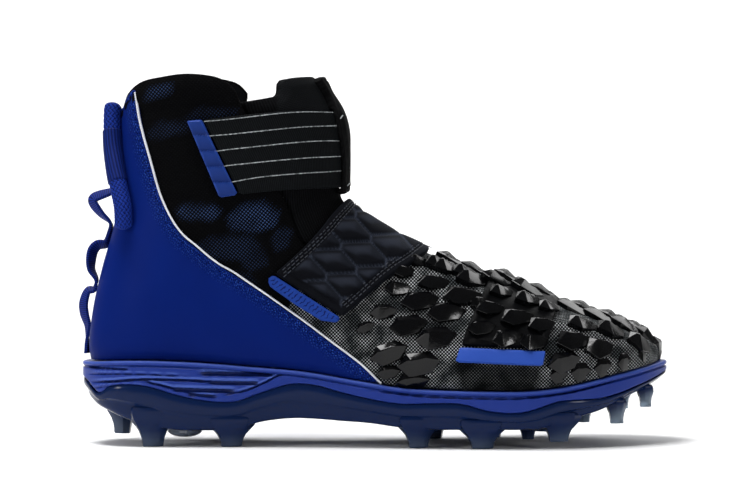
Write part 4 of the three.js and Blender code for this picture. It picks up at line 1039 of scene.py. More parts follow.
def finish_stitched_tab(colours):
    """Blue tape with dense zigzag stitching."""
    material, tree = new_finish("stitched_blue_tape")
    zig = add(tree, "TexWave", {"Vector": cloth_mm(tree, 20), "Scale": ridges(1.5), "Distortion": 4.0,
                                "Detail Scale": 2.2}, "Fac", bands_direction="DIAGONAL", wave_profile="TRI")
    inner = add(tree, "MapRange", {0: add(tree, "Attribute", None, "Fac", attribute_name="edge"), 1: 1.0,
                                   2: 1.6})
    mark = add(tree, "Math", {0: add(tree, "MapRange", {0: zig, 1: 0.34, 2: 0.14}), 1: inner},
               **TIMES)
    base = clouded(tree, cloth_mm(tree), 0.3, colours.tab_blue, "#1D3F98")
    colour = add(tree, "Mix", {0: mark, 6: base, 7: "#081650"}, **BLEND)
    return surfaced(material, tree, colour, 0.6, 0.08, (add(tree, "Math",
                    {0: 1.0, 1: mark}, operation="SUBTRACT"), 0.4, 0.7))


def finish_lugs():
    """Cast polyurethane gems: black, hard and glossy, with crisp facets."""
    material, tree = new_finish("cast_polyurethane_lugs")
    colour = clouded(tree, shoe_mm(tree), 0.25, "#030304", "#090A0C")
    swell = add(tree, "TexNoise", {"Vector": shoe_mm(tree), "Scale": 0.5, "Detail": 3.0}, "Fac")
    return surfaced(material, tree, colour, 0.14, 0.27, (swell, 0.2, 0.3))


def finish_band():
    """Fused urethane film over webbing: black, satin, faintly pebbled."""
    material, tree = new_finish("fused_film_strap")
    colour = clouded(tree, cloth_mm(tree), 0.2, "#020203", "#07080A")
    pebble = add(tree, "TexNoise", {"Vector": cloth_mm(tree), "Scale": 0.9, "Detail": 3.0}, "Fac")
    return surfaced(material, tree, colour, 0.5, 0.05, (pebble, 0.3, 0.4))


def finish_foam(colours):
    """Injected foam: royal blue, satin skin with a faint pebble, painted shade in its cut lines and under the
    rim's step, and painted highlights along their upper edges and on the rim's rounded top.
    """
    material, tree = new_finish("injected_foam_midsole")
    skin = clouded(tree, shoe_mm(tree), 0.03, colours.sole_blue, "#182E7C")
    # Painted shade: the foam is painted darker with the depth of each cut line and under the rim's step.
    cut = add(tree, "Attribute", None, "Fac", attribute_name="cut")
    deep = add(tree, "Mix", {0: add(tree, "MapRange", {0: cut, 1: 0.1, 2: 0.9, 4: 0.72}), 6: skin,
                             7: "#040A2C"}, **BLEND)
    # Painted highlight along the upper edge of each cut line and on the rim's rounded top.
    painted_lip_highlight = add(tree, "Attribute", None, "Fac", attribute_name="painted_lip_highlight")
    colour = add(tree, "Mix", {0: add(tree, "Math", {0: painted_lip_highlight, 1: 0.65}, **TIMES), 6: deep,
                               7: "#4C66B8"}, **BLEND)
    pebble = add(tree, "TexNoise", {"Vector": shoe_mm(tree), "Scale": 1.3, "Detail": 3.0}, "Fac")
    return surfaced(material, tree, colour, 0.40, 0.16, (pebble, 0.08, 0.5))


def finish_plate():
    """Clear thermoplastic urethane, tinted blue: dark where the plate is thick, pale where a stud is thin."""
    material, tree = new_finish("tinted_clear_urethane")
    thin = add(tree, "Attribute", None, "Fac", attribute_name="thin")
    colour = add(tree, "Mix", {0: thin, 6: "#0C1D42", 7: "#B4CBDF"}, **BLEND)
    swirl = add(tree, "TexNoise", {"Vector": shoe_mm(tree), "Scale": 0.12, "Detail": 2.0}, "Fac")
    clear = add(tree, "MapRange", {0: thin, 3: 0.0, 4: 0.95})
    return surfaced(material, tree, colour, 0.16, 0.12, (swirl, 0.2, 0.3),
                    {"IOR": 1.5, "Transmission Weight": clear})


def finish_lens():
    """Clear urethane over foam: a pale grey lens."""
    material, tree = new_finish("clear_urethane_lens")
    colour = clouded(tree, shoe_mm(tree), 0.2, "#55647A", "#8E9AAA")
    return surfaced(material, tree, colour, 0.12, 0.5, None, {"IOR": 1.5, "Coat Weight": 0.3})


def finish_rope(colours):
    """Braided polyester cord: royal blue strands crossing in chevrons, with painted shade in the hollows
    between them.
    """
    material, tree = new_finish("braided_polyester_cord")
    # Painted shade: the hollows between the strands, low on the braid, are painted dark.
    raised_strand = add(tree, "MapRange", {0: add(tree, "Attribute", None, "Fac", attribute_name="edge"),
                                           1: 0.2,
                                           2: 0.85})
    strand = clouded(tree, cloth_mm(tree), 0.4, colours.rope_blue, "#193288")
    colour = add(tree, "Mix", {0: raised_strand, 6: "#040A26", 7: strand}, **BLEND)
    fibre = add(tree, "TexNoise", {"Vector": cloth_mm(tree), "Scale": 2.2, "Detail": 3.0}, "Fac")
    return surfaced(material, tree, colour, 0.65, 0.06, (fibre, 0.2, 0.6))


def finish_sleeve():
    """Shrunk webbing wrap: navy, with fine lengthwise lines."""
    material, tree = new_finish("shrunk_webbing_wrap")
    lines = add(tree, "TexWave", {"Vector": cloth_mm(tree), "Scale": ridges(1.3)}, "Fac", bands_direction="Y")
    colour = add(tree, "Mix", {0: lines, 6: "#071440", 7: "#10236A"}, **BLEND)
    return surfaced(material, tree, colour, 0.6, 0.06, (lines, 0.2, 0.6))


def finish_ribbon():
    """Narrow woven ribbon: navy grosgrain."""
    material, tree = new_finish("grosgrain_ribbon")
    ribs = add(tree, "TexWave", {"Vector": cloth_mm(tree), "Scale": ridges(1.0)}, "Fac")
    colour = add(tree, "Mix", {0: ribs, 6: "#060E36", 7: "#142A80"}, **BLEND)
    return surfaced(material, tree, colour, 0.65, 0.06, (ribs, 0.2, 0.6))


def finish_thread(name, dark, light):
    """Bonded nylon thread with a slight shine."""
    material, tree = new_finish(name)
    twist = add(tree, "TexNoise", {"Vector": shoe_mm(tree), "Scale": 0.8, "Detail": 2.0}, "Fac")
    colour = add(tree, "Mix", {0: add(tree, "MapRange", {0: twist, 1: 0.35, 2: 0.65}), 6: dark,
                               7: light}, **BLEND)
    return surfaced(material, tree, colour, 0.5, 0.3)


def finish_paper():
    """Matt white studio paper."""
    material, tree = new_finish("matt_white_paper")
    return surfaced(material, tree, "#FCFCFC", 0.7, 0.0)


# Pieces
def spots_of(obj):
    """A mesh's points in millimetres on the last."""
    co = np.empty(len(obj.data.vertices) * 3, np.float32)
    obj.data.vertices.foreach_get("co", co)
    return co.reshape(-1, 3) / MM - SHIFT


def mark(obj, name, values):
    """Puts a value on each point of a mesh, for its finish."""
    item = obj.data.attributes.new(name, "FLOAT", "POINT")
    item.data.foreach_set("value", np.asarray(values, np.float32))


def in_view(points, outline):
    """Distance from an outline in side view, positive inside."""
    return outline_distance(points[..., 0], points[..., 2], outline)


def collar_cut(line, count=15):
    """The collar's edge as a smooth line."""
    return spline(shares(line), count)


def upper_outline(collar):
    """Outline of the bootie in side view."""
    low = [[-60, 0], [LENGTH + 60, 0], [LENGTH + 60, shares(THROAT)[-1][1]]]
    return np.vstack([low, spline(shares(THROAT), 12)[::-1], collar_cut(collar)[::-1],
                      [[-60, collar_cut(collar)[0][1]]]])


def throat_outline(margin):
    """Outline of the throat, wider by a margin."""
    edge = shifted(spline(shares(THROAT), 12), -margin)
    return np.vstack([[[edge[0][0] - margin, COLLAR * 1.4]], edge, [[LENGTH * 0.7, edge[-1][1]],
                                                                    [LENGTH * 0.7, COLLAR * 1.4]]])


def quarter_outline(inset, drop=1.6):
    """Outline of the quarter, drawn in by an inset."""
    edge = shifted(spline(shares(QUARTER_EDGE), 18), -inset)
    collar = collar_cut(COLLAR_OUTER)
    collar = collar[collar[:, 0] < edge[0][0] - 1] - [0, drop]
    return np.vstack([collar, edge, [[edge[-1][0], 0], [-60, 0], [-60, collar[0][1]]]])


def ankle_outline(margin=0.0):
    """Outline of the ankle strap, wider by a margin."""
    top = shifted(spline(shares(ANKLE_TOP), 5), margin)
    bottom = shifted(spline(shares(ANKLE_BOTTOM), 5), -margin)
    return np.vstack([top, bottom[::-1]])


def strap_outline(back, front, side, hem, margin=0.0):
    """Outline of a strap over the foot, on the outer or the inner side."""
    rear = shifted(spline(shares(back), 8), -margin)
    fore = shifted(spline(shares(front), 8), margin)
    if side < 0:
        return np.vstack([rear, fore[::-1]])
    return np.vstack([rear[:9], [[LENGTH * hem[0] - margin, 0], [LENGTH * hem[1] + margin, 0]],
                      fore[::-1][-9:]])


def build_upper(last, finishes):
    """The bootie: outer knit, rounded collar and lining in one closed sheet."""
    outer, inner = upper_outline(COLLAR_OUTER), upper_outline(COLLAR_INNER)
    top_line = collar_cut(COLLAR_OUTER)

    def padding(points, distance):
        from_top = np.interp(points[:, 0], top_line[:, 0], top_line[:, 1]) - points[:, 2]
        roll = soft_step(from_top, 0, 5) * (1 - soft_step(from_top, 8, 15)) * 1.5
        seam = -np.exp(-((from_top - 15) / 1.6) ** 2) * 0.5
        return np.where(points[:, 2] > COLLAR * 0.8, roll + seam, 0)
    obj = shell("bootie", last, within(outer, inner), -WALL, 0.0, (0, 20), (-1, 1), 1.75, lift=padding,
                wrap=True,
                lined=True)
    weld(obj, 0.02)
    p = spots_of(obj)
    mark(obj, "vamp", np.clip(in_view(p, shares(VAMP_AREA)), -5, 5) / 10 + 0.5)
    patch = np.where(p[:, 1] < 0, in_view(p, shares(PLAIN_PATCH)), -5)
    mark(obj, "plain", np.clip(patch, -5, 5) / 10 + 0.5)
    zone = np.zeros(len(p))
    for strength, *outline in KNIT_ZONES:
        zone = np.maximum(zone, strength * soft_step(in_view(p, shares(outline)), -1.2, 1.2))
    mark(obj, "zone", zone)
    flatten_cloth(obj, p)
    finish_piece(obj, [finishes["bootie"], finishes["lining"]], ("upper",))


def flatten_cloth(obj, p):
    """Lays the knit's pattern flat from the side, from above or from the front, as each face looks."""
    loops_of = np.empty(len(obj.data.loops), int)
    obj.data.loops.foreach_get("vertex_index", loops_of)
    sizes, way = np.empty(len(obj.data.polygons), int), np.empty(len(obj.data.polygons) * 3, np.float32)
    obj.data.polygons.foreach_get("loop_total", sizes)
    obj.data.polygons.foreach_get("normal", way)
    way = np.abs(way.reshape(-1, 3)).repeat(sizes, axis=0)
    spot = p[loops_of]
    u = np.where((way[:, 1] < 0.45) & (way[:, 0] > way[:, 2]), spot[:, 1], spot[:, 0])
    v = np.where((way[:, 1] < 0.45) & (way[:, 0] <= way[:, 2]), spot[:, 1], spot[:, 2])
    obj.data.uv_layers["cloth"].data.foreach_set("uv", np.stack([u, v], 1).astype(np.float32).ravel())


def build_tongue(last, finishes):
    """Tongue and gusset: a padded sheet that tucks behind the throat's edges."""
    throat = throat_outline(0.0)
    wide = throat_outline(6.0)
    top = spline(shares(TONGUE_TOP), 10)
    outline = np.vstack([[[wide[1][0] - 1, top[0][1]]], top,
                         [[LENGTH * 0.7, top[-1][1]], [LENGTH * 0.7, wide[-3][1]]],
                         wide[1:-2][::-1]])

    def swell(points, distance):
        inside = in_view(points, throat)
        tuck = -1.9 * (1 - soft_step(inside, 0.2, 2.2))
        pad = soft_step(inside, 3, 12) * soft_step(points[:, 2] / COLLAR, 0.80, 0.9) * 1.6
        return tuck + pad * soft_step(distance, 0.5, 5)
    obj = shell("tongue", last, within(outline, outline), -6.2, -0.5, (8, 20), (-0.8, 0.8), 1.5, radius=1.8,
                lift=swell, round_steps=4)
    weld(obj, 0.02)
    p = spots_of(obj)
    mark(obj, "pad", np.clip(in_view(p, shares(TONGUE_PAD)), -5, 5) / 10 + 0.5)
    finish_piece(obj, [finishes["tongue"]], ("tongue",))


def build_insole(last, finishes):
    """Sock liner: a thin pad following the floor of the bootie, dished at the heel."""
    rings = []
    for inset, lift in ((7.6, 0.4), (7.2, 1.4), (7.6, 2.4), (9.5, 2.9), (16, 2.7), (26, 2.5)):
        ring = sole_ring(inset, 3.0)
        x, y = ring[:, 0], ring[:, 1]
        rings.append(np.stack([x, y, sole_height(1, x) + lift + 0.3], 1))
    points, faces = loft(rings)
    obj = fresh_mesh("insole", points, faces, uv=points[:, :2])
    weld(obj, 0.05)
    finish_piece(obj, [finishes["lining"]], ("insole",), 50)


def build_quarter(last, finishes):
    """Blue quarter around the heel and the white piping on its edge."""
    outline = quarter_outline(0.5 + GAP)
    obj = shell("heel_quarter", last, within(outline, outline), GAP, GAP + QUARTER, (6.2, 20), (-1, 1), 1.35,
                radius=0.6, wrap=True, lift=lambda p, d: -0.25 * np.exp(-((d - 2.6) / 0.5) ** 2))
    weld(obj, 0.02)
    p = spots_of(obj)
    edge_line = spline(shares(QUARTER_EDGE), 18)
    mark(obj, "band", np.clip(line_distance(p, edge_line), 0, 30))
    finish_piece(obj, [finishes["film"]], ("heel_quarter",))
    for side, node in ((-1, "quarter_piping_outer"), (1, "quarter_piping_inner")):
        point, normal = on_side(last, edge_line[2:], side, GAP + 0.95, 0.7)
        keep = point[:, 2] > sole_height(1, point[:, 0]) + 0.3
        part = swept(point[keep], normal[keep], oval(1.0, 1.5, 10))
        piece = fresh_mesh("piping_outer" if side < 0 else "piping_inner", *part)
        finish_piece(piece, [finishes["piping"]], (node,), 60)


def line_distance(points, line):
    """Side-view distance from an open line."""
    best = np.full(len(points), 1e9)
    for a, b in zip(line[:-1], line[1:]):
        d = b - a
        t = np.clip(((points[:, 0] - a[0]) * d[0] + (points[:, 2] - a[1]) * d[1]) / (d @ d + 1e-12), 0, 1)
        best = np.minimum(best, np.hypot(points[:, 0] - a[0] - d[0] * t, points[:, 2] - a[1] - d[1] * t))
    return best


def build_ankle(last, finishes):
    """Ankle strap of elastic webbing, its reflective threads, its end tab and the panel in front."""
    region = within(ankle_outline(), ankle_outline(), above=False)
    obj = shell("ankle_strap", last, region, GAP, GAP + 2.2, (12, 20), (-0.85, 0.85), 1.3, radius=0.9)
    weld(obj, 0.02)
    finish_piece(obj, [finishes["strap"]], ("ankle_strap",))
    parts = []
    for line in ANKLE_THREADS:
        for side in (-1, 1):
            point, normal = on_side(last, spline(shares(line), 10), side, GAP + 2.25, 0.9)
            wobble = np.sin(np.arange(len(point)) * 2.1)[:, None] * 0.03
            parts.append(swept(point + normal * wobble, normal, oval(0.46, 0.34, 6)))
    for x, z in BAR_TACKS:
        point, normal = on_side(last, shares([(x - 0.0015, z - 0.003), (x + 0.0015, z + 0.004)]), -1,
                                GAP + 5.2, 0.4)
        parts.append(swept(point, normal, oval(0.7, 0.5, 6)))
    threads = fresh_mesh("ankle_threads", *gather(parts))
    finish_piece(threads, [finishes["silver"]], (), 60)
    tab_line = shares(ANKLE_TAB)

    def steps(points, distance):
        share = (points[:, 2] - tab_line[3][1]) / (tab_line[1][1] - tab_line[3][1])
        return 0.8 * (np.mod(share * 5, 1.0) - 0.5) * soft_step(distance, 0.1, 0.7)
    tab = shell("ankle_strap_tab", last, within(tab_line, None, above=False), GAP, GAP + 3.0, (14, 20),
                (-0.99, -0.1),
                0.7, radius=0.7, lift=steps)
    weld(tab, 0.02)
    # Painted shade on each of the tab's five steps: darkest at the foot of a step, fading to nothing at its
    # top.
    share = (spots_of(tab)[:, 2] - tab_line[3][1]) / (tab_line[1][1] - tab_line[3][1])
    mark(tab, "painted_step_shade", 0.75 * (1 - np.mod(share * 5, 1.0)) ** 2)
    finish_piece(tab, [finishes["tab"]], ("ankle_strap_tab",))
    outline = np.vstack([spline(shares(SHROUD_EDGE), 9), shares(SHROUD_HEM), shares(SHROUD_TOP)])
    under = ankle_outline(0.3)

    def seat(points):
        return np.where(in_view(points, under) > -1.0, 2.9, 0.4)

    def puff(points, distance):
        return 0.5 * soft_step(distance, 0.5, 6) - 0.5 * np.exp(-((distance - 3.4) / 0.6) ** 2)
    panel = shell("front_panel", last, within(outline, outline, above=False), seat, 4.9, (11, 20),
                  (-0.6, 0.6), 1.3,
                  radius=1.2, lift=puff)
    weld(panel, 0.02)
    finish_piece(panel, [finishes["shroud"]], ("front_shroud",))


def quilt(points):
    """How far each point lies from the seams between the cells: nought on a seam, one at a cell's middle."""
    step_a, step_b = np.array([15.0, 3.6]), np.array([7.6, -12.0])
    lean = math.radians(-27)
    x = points[:, 0] - 0.4287 * LENGTH
    z = points[:, 2] - 0.4966 * COLLAR
    det = step_a[0] * step_b[1] - step_a[1] * step_b[0]
    a = (x * step_b[1] - z * step_b[0]) / det
    b = (z * step_a[0] - x * step_a[1]) / det
    near = np.full((2, len(x)), 99.0)
    for da in (-1, 0, 1, 2):
        for db in (-1, 0, 1, 2):
            i, j = np.floor(a) + da, np.floor(b) + db
            gx = x - (i * step_a[0] + j * step_b[0])
            gz = z - (i * step_a[1] + j * step_b[1])
            along = gx * math.cos(lean) + gz * math.sin(lean)
            aside = -gx * math.sin(lean) + gz * math.cos(lean)
            gap = np.hypot(along / 1.35, aside * 1.3)
            near[1] = np.minimum(near[1], np.maximum(near[0], gap))
            near[0] = np.minimum(near[0], gap)
    return np.clip((near[1] - near[0]) / 9.0, 0, 1)


def build_midfoot(last, finishes):
    """Quilted strap over the instep, its bound edges with twin stitching, and its taped end."""
    outer = strap_outline(MID_BACK, MID_FRONT, -1, MID_HEM)
    inner = strap_outline(MID_BACK, MID_FRONT, 1, MID_HEM)
    base = within(outer, inner)
    behind = quarter_outline(-1.4)

    def region(points):
        return np.minimum(base(points), -in_view(points, behind))

    def puff(points, distance):
        cells = quilt(points)
        field = soft_step(distance, 4.6, 6.4)
        pad = (1 - np.exp(-cells * 3.6)) * 2.3 - 0.8
        bound = -0.45 * np.exp(-((distance - 4.2) / 0.55) ** 2)
        return field * pad * (0.4 + 0.6 * soft_step(np.abs(points[:, 1]), 5, 20)) + bound
    obj = shell("midfoot_strap", last, region, GAP, GAP + 3.0, (6, 15), (-0.75, 0.95), 0.8, radius=1.3,
                lift=puff,
                round_steps=4)
    weld(obj, 0.02)
    p = spots_of(obj)
    edge = np.empty(len(p), np.float32)
    obj.data.attributes["edge"].data.foreach_get("value", edge)
    valley = np.exp(-(quilt(p) / 0.11) ** 2) * soft_step(edge, 4.4, 5.4)
    mark(obj, "valley", valley)
    # Painted highlight: where the cell value drops a little way up and back, on the upper side of each pad, the
    # cloth is painted lighter as if lit from above.
    rise = quilt(p) - quilt(p + np.array([-1.2, 0.0, 2.6]))
    mark(obj, "nap_and_painted_pad_light", np.clip(rise * 1.3, 0, 1) * soft_step(edge, 4.4, 6.0))
    finish_piece(obj, [finishes["quilt"]], ("midfoot_strap",))
    parts = []
    for line, way in ((MID_BACK, -1), (MID_FRONT, 1)):
        for inset in (1.4, 2.9, 4.4):
            run = shifted(spline(shares(line), 8), -way * inset)[1:-1]
            for side in (-1, 1):
                use = run if side < 0 else run[:10]
                parts += stitches(last, use, side, GAP + 3.05, 2.0, 2.9, 0.5)
    thread = fresh_mesh("midfoot_stitching", *gather(parts))
    finish_piece(thread, [finishes["dark_thread"]], (), 60)
    tab = shell("midfoot_strap_tab", last, within(shares(MID_TAB), None, above=False), GAP, GAP + 3.7, (7, 14),
                (-0.9, -0.1), 0.7, radius=0.9, lift=lambda p, d: 0.35 * soft_step(d, 0.2, 2.0))
    weld(tab, 0.02)
    finish_piece(tab, [finishes["stitched_tab"]], ("midfoot_strap_tab",))


def pick_faces(obj, way):
    """Selects, in edit mode, the faces that look up (1) or down (-1)."""
    bm = bmesh.from_edit_mesh(obj.data)
    for face in bm.faces:
        face.select = face.normal.z * way > 0.9
    bmesh.update_edit_mesh(obj.data)


def take_pattern(obj, width, segments, degrees):
    """Bevels the edges of a pattern and gives back its points and faces in place of the object."""
    bevel = obj.modifiers.new("edges", "BEVEL")
    bevel.width, bevel.segments = width, segments
    bevel.limit_method, bevel.angle_limit = "ANGLE", math.radians(degrees)
    bpy.ops.object.modifier_apply(modifier="edges")
    co = np.array([v.co[:] for v in obj.data.vertices])
    faces = [tuple(p.vertices) for p in obj.data.polygons]
    bpy.data.objects.remove(obj)
    return co, faces


def lug_pattern():
    """One gem-like lug, shaped from a six-sided block: low foot, sloping facets, a short high ridge."""
    bpy.ops.object.select_all(action="DESELECT")
    bpy.ops.mesh.primitive_cylinder_add(vertices=6, radius=1.0, depth=1.0, location=(0, 0, 0.5),
                                        rotation=(0, 0, math.radians(30)))
    bpy.ops.object.transform_apply(location=True, rotation=True, scale=True)
    obj = bpy.context.object
    bpy.ops.object.mode_set(mode="EDIT")
    pick_faces(obj, 1)
    bpy.ops.transform.resize(value=(0.95, 0.90, 1))
    bpy.ops.transform.translate(value=(0, 0.03, -0.74))
    bpy.ops.mesh.extrude_region_move(TRANSFORM_OT_translate={"value": (-0.04, 0.36, 0.74)})
    bpy.ops.transform.resize(value=(0.46, 0.05, 1))
    bpy.ops.object.mode_set(mode="OBJECT")
    return take_pattern(obj, 0.03, 1, 20)


def lug_field(last, name, table, seat, keep, height=3.2, grow=1.1, broad=0.30):
    """Copies of the lug laid over the last at the places in a table, each bent to the surface under it."""
    pattern, pattern_faces = lug_pattern()
    parts = []
    for number, (x, z, both, length, lean) in enumerate(table):
        for side in ((-1, 1) if both else (-1,)):
            if z and not keep(x * LENGTH, z * COLLAR, side):
                continue
            if z:
                row, turn = last.find(x * LENGTH, z * COLLAR, side)
            else:
                rows, turn = np.linspace(0.2, 13, 400), np.array([side * both])
                line = last.at(rows, turn[0])[0]
                row = rows[[np.argmin(np.abs(line[:, 0] - x * LENGTH))]]
            angle = math.radians(-lean + 3 * math.sin(number * 2.3))
            out = last.at(row[0], turn[0])[1]
            ahead = np.array([math.cos(angle), 0.0, math.sin(angle)])
            if abs(out[1]) > 0.25:
                ahead[1] = np.clip(-(out @ ahead) / out[1], -0.9, 0.9)
            up = float(soft_step(out[2], 0.45, 0.9))
            size = length * grow * (1 + 0.12 * up)
            run = pattern[:, 0] * size / 2
            across = -pattern[:, 1] * size * broad * (1 if side < 0 else -1)
            tall = height * math.sqrt(length / 17) * (0.95 + 0.12 * math.sin(number * 1.7))
            points = last.wrap(row[0], turn[0], run, across, seat + pattern[:, 2] * tall - 0.3, ahead)
            parts.append((points, pattern_faces if side < 0 else [f[::-1] for f in pattern_faces]))
    return fresh_mesh(name, *gather(parts))


def build_forefoot(last, finishes):
    """Strap across the forefoot with its tab, and the lugs cast on it and on the vamp."""
    outer = strap_outline(FORE_BACK, FORE_FRONT, -1, FORE_HEM)
    inner = strap_outline(FORE_BACK, FORE_FRONT, 1, FORE_HEM)

    def bound(points, distance):
        band = 0.8 * (1 - soft_step(distance, 3.0, 3.8)) * soft_step(distance, 0.1, 1.0)
        return band - 0.3 * np.exp(-((distance - 1.9) / 0.35) ** 2)
    obj = shell("forefoot_strap", last, within(outer, inner), GAP, GAP + STRAP, (2, 9), (-0.75, 0.95), 1.0,
                radius=0.7,
                lift=bound)
    weld(obj, 0.02)
    finish_piece(obj, [finishes["band"]], ("forefoot_strap",))
    tab_line = shares(FORE_TAB)

    def wedge(points, distance):
        height = (points[:, 2] - tab_line[:, 1].min()) / np.ptp(tab_line[:, 1])
        return 1.7 * (1 - np.clip(height, 0, 1)) * soft_step(distance, 0, 0.8)
    tab = shell("forefoot_strap_tab", last, within(tab_line, None), GAP, GAP + 2.4, (3, 10), (-0.95, -0.1), 0.7,
                radius=0.8, lift=wedge)
    weld(tab, 0.02)
    # Painted highlight: the forefoot tab faces up, so all of it is painted lighter.
    mark(tab, "sunlit", np.ones(len(tab.data.vertices)))
    finish_piece(tab, [finishes["tab"]], ("forefoot_strap_tab",))
    mid_outer = strap_outline(MID_BACK, MID_FRONT, -1, MID_HEM)
    mid_inner = strap_outline(MID_BACK, MID_FRONT, 1, MID_HEM)

    def clear_of(x, z, side):
        here = np.array([[x, 0, z]])
        hits = [in_view(here, outer if side < 0 else inner)[0] > 2.0,
                in_view(here, mid_outer if side < 0 else mid_inner)[0] > 2.0,
                side < 0 and in_view(here, tab_line)[0] > 0]
        return not any(hits)
    vamp = lug_field(last, "vamp_lugs", VAMP_LUGS, 0.0, clear_of)
    finish_piece(vamp, [finishes["lugs"]], (), 18)
    tiles = lug_field(last, "toe_tiles", TOE_TILES, 0.0, clear_of, 1.1, 1.0, 0.44)
    finish_piece(tiles, [finishes["lugs"]], (), 18)
    strap = lug_field(last, "strap_lugs", STRAP_LUGS, GAP + STRAP, lambda x, z, side: True)
    finish_piece(strap, [finishes["lugs"]], (), 18)


def angle_turn(row, angle):
    """The turn of the last that an angle past the back on the outer side stands for."""
    fine = np.linspace(0, math.pi, 1201)
    x, z, _, half, side = cross_section(row, fine)
    centre = (value_at(LAST_ROWS, 8, row) - value_at(LAST_ROWS, 7, row)) / 2
    walk = run_of(np.stack([x, BALL * (centre - half * side), z], 1))
    return -np.interp(math.pi - angle, fine, walk / walk[-1])


def rope_path(last, count):
    """Middle line of the pull rope and the outward directions along it."""
    base = GAP + QUARTER + 2 * GAP + 0.3 + 3.4
    stops, directions = [], []
    for row, turn, off in ROPE_STOPS:
        point, normal = last.at(row, angle_turn(row, turn))
        stops.append(point + normal * (base + off))
        directions.append(normal)
    path = even(spline(stops, 12), 0.1)
    share = np.linspace(0, 1, len(path))
    n = np.stack([np.interp(share, np.linspace(0, 1, len(directions)), np.array(directions)[:, k])
                  for k in range(3)], 1)
    pick = np.linspace(0, len(path) - 1, count).astype(int)
    return path[pick], n[pick]


def tube(path, normals, radius_of, around):
    """A tube whose radius comes from the place along it and around it."""
    side, up = line_frame(path, normals)
    angle = np.linspace(0, 2 * math.pi, around, endpoint=False)
    along = run_of(path)
    radius, height = radius_of(along[:, None], angle[None, :])
    ring = side * np.cos(angle)[None, :, None] + up * np.sin(angle)[None, :, None]
    points = path[:, None] + ring * radius[..., None]
    uv = np.stack([np.repeat(along, around), np.tile(angle * 4, len(path))], 1)
    return points.reshape(-1, 3), tube_faces(len(path), around), uv, height.ravel()


def build_pull(last, finishes):
    """Braided pull rope with its wrap, and the looped ribbon down the heel."""
    path, normals = rope_path(last, 300)
    total = run_of(path)[-1]

    def braid(along, angle):
        a = angle * 6 / (2 * math.pi) + along / 5.6
        b = angle * 6 / (2 * math.pi) - along / 5.6
        over = (np.floor(a * 2) + np.floor(b * 2)) % 2
        ridge = np.where(over > 0, np.abs(np.sin(2 * math.pi * a)), np.abs(np.sin(2 * math.pi * b)))
        ends = np.minimum(along, total - along)
        body = 4.15 * np.sqrt(np.clip(1 - (1 - np.clip(ends / 3.0, 0, 1)) ** 2, 0.02, 1))
        return body + ridge * 0.42 * soft_step(ends, 0, 2), ridge + 0 * along
    # The braid's height goes on the rope as its edge value, which the finish turns into painted shade between
    # the strands.
    points, faces, uv, height = tube(path, normals, braid, 56)
    rope = fresh_mesh("pull_rope", points, faces, uv=uv, edge=height)
    finish_piece(rope, [finishes["rope"]], ("pull_rope",), 60)
    held = (path[:, 2] > 0.705 * COLLAR) & (path[:, 2] < 0.850 * COLLAR)
    part, lead = path[held], normals[held]
    span = run_of(part)[-1]

    def wrapped(along, angle):
        ends = np.minimum(along, span - along)
        return 4.5 + 0.45 * soft_step(ends, 0, 0.8) + 0.05 * np.sin(angle * 14), 0 * angle + 0 * along
    points, faces, uv, _ = tube(part, lead, wrapped, 56)
    sleeve = fresh_mesh("rope_wrap", points, faces, uv=uv)
    finish_piece(sleeve, [finishes["sleeve"]], ("pull_rope_sleeve",), 60)
    seat = GAP + QUARTER + GAP + 1.1
    rows = np.linspace(14.6, 19.95, 500)
    back = last.at(rows, -1.0)[0]
    stops = []
    for share, off in RIBBON_STOPS:
        z = HEEL + (COLLAR - HEEL) * share
        i = int(np.argmin(np.abs(back[:, 2] - z)))
        stops.append([back[i][0] - (seat + off), 0.0, z])
    middle = even(spline(stops, 12), 0.6)
    middle[:, 1] = 2.4
    flat = np.cross(unit(np.gradient(middle, axis=0)), np.array([0.0, 1.0, 0.0]))
    twist = 0.55 * np.sin(np.linspace(0.4, 10.0, len(middle)))[:, None]
    flat = flat * np.cos(twist) + np.array([0.0, 1.0, 0.0]) * np.sin(twist)
    thick, wide = 1.5, 7.6
    corner = [(-wide / 2, -thick / 2), (-wide / 2 + 0.5, -thick / 2 - 0.12),
              (wide / 2 - 0.5, -thick / 2 - 0.12),
              (wide / 2, -thick / 2), (wide / 2 + 0.25, 0), (wide / 2, thick / 2),
              (wide / 2 - 0.5, thick / 2 + 0.12),
              (-wide / 2 + 0.5, thick / 2 + 0.12), (-wide / 2, thick / 2), (-wide / 2 - 0.25, 0)]
    ribbon = fresh_mesh("heel_ribbon", *swept(middle, flat, corner))
    finish_piece(ribbon, [finishes["ribbon"]], ("heel_ribbon",), 45)


# The sole
def sole_loop(step=0.9):
    """The sole's outline, walked in even steps from the heel over the outer side."""
    x = (1 - np.cos(np.linspace(0, math.pi, 900))) / 2
    outer = np.stack([x * LENGTH, -BALL * value_at(OUTLINE, 1, x)], 1)
    inner = np.stack([x * LENGTH, BALL * value_at(OUTLINE, 2, x)], 1)
    loop = np.vstack([outer, inner[::-1][1:-1]])
    for _ in range(6):
        loop = (np.roll(loop, 1, axis=0) + 2 * loop + np.roll(loop, -1, axis=0)) / 4
    return even(np.vstack([loop, loop[:1]]), step)[:-1]


def sole_ring(inset, step=0.9):
    """The sole's outline drawn in by an inset."""
    loop = sole_loop(step)
    run = unit(np.roll(loop, -2, axis=0) - np.roll(loop, 2, axis=0))
    return loop + np.stack([-run[:, 1], run[:, 0]], 1) * np.asarray(inset).reshape(-1, 1)


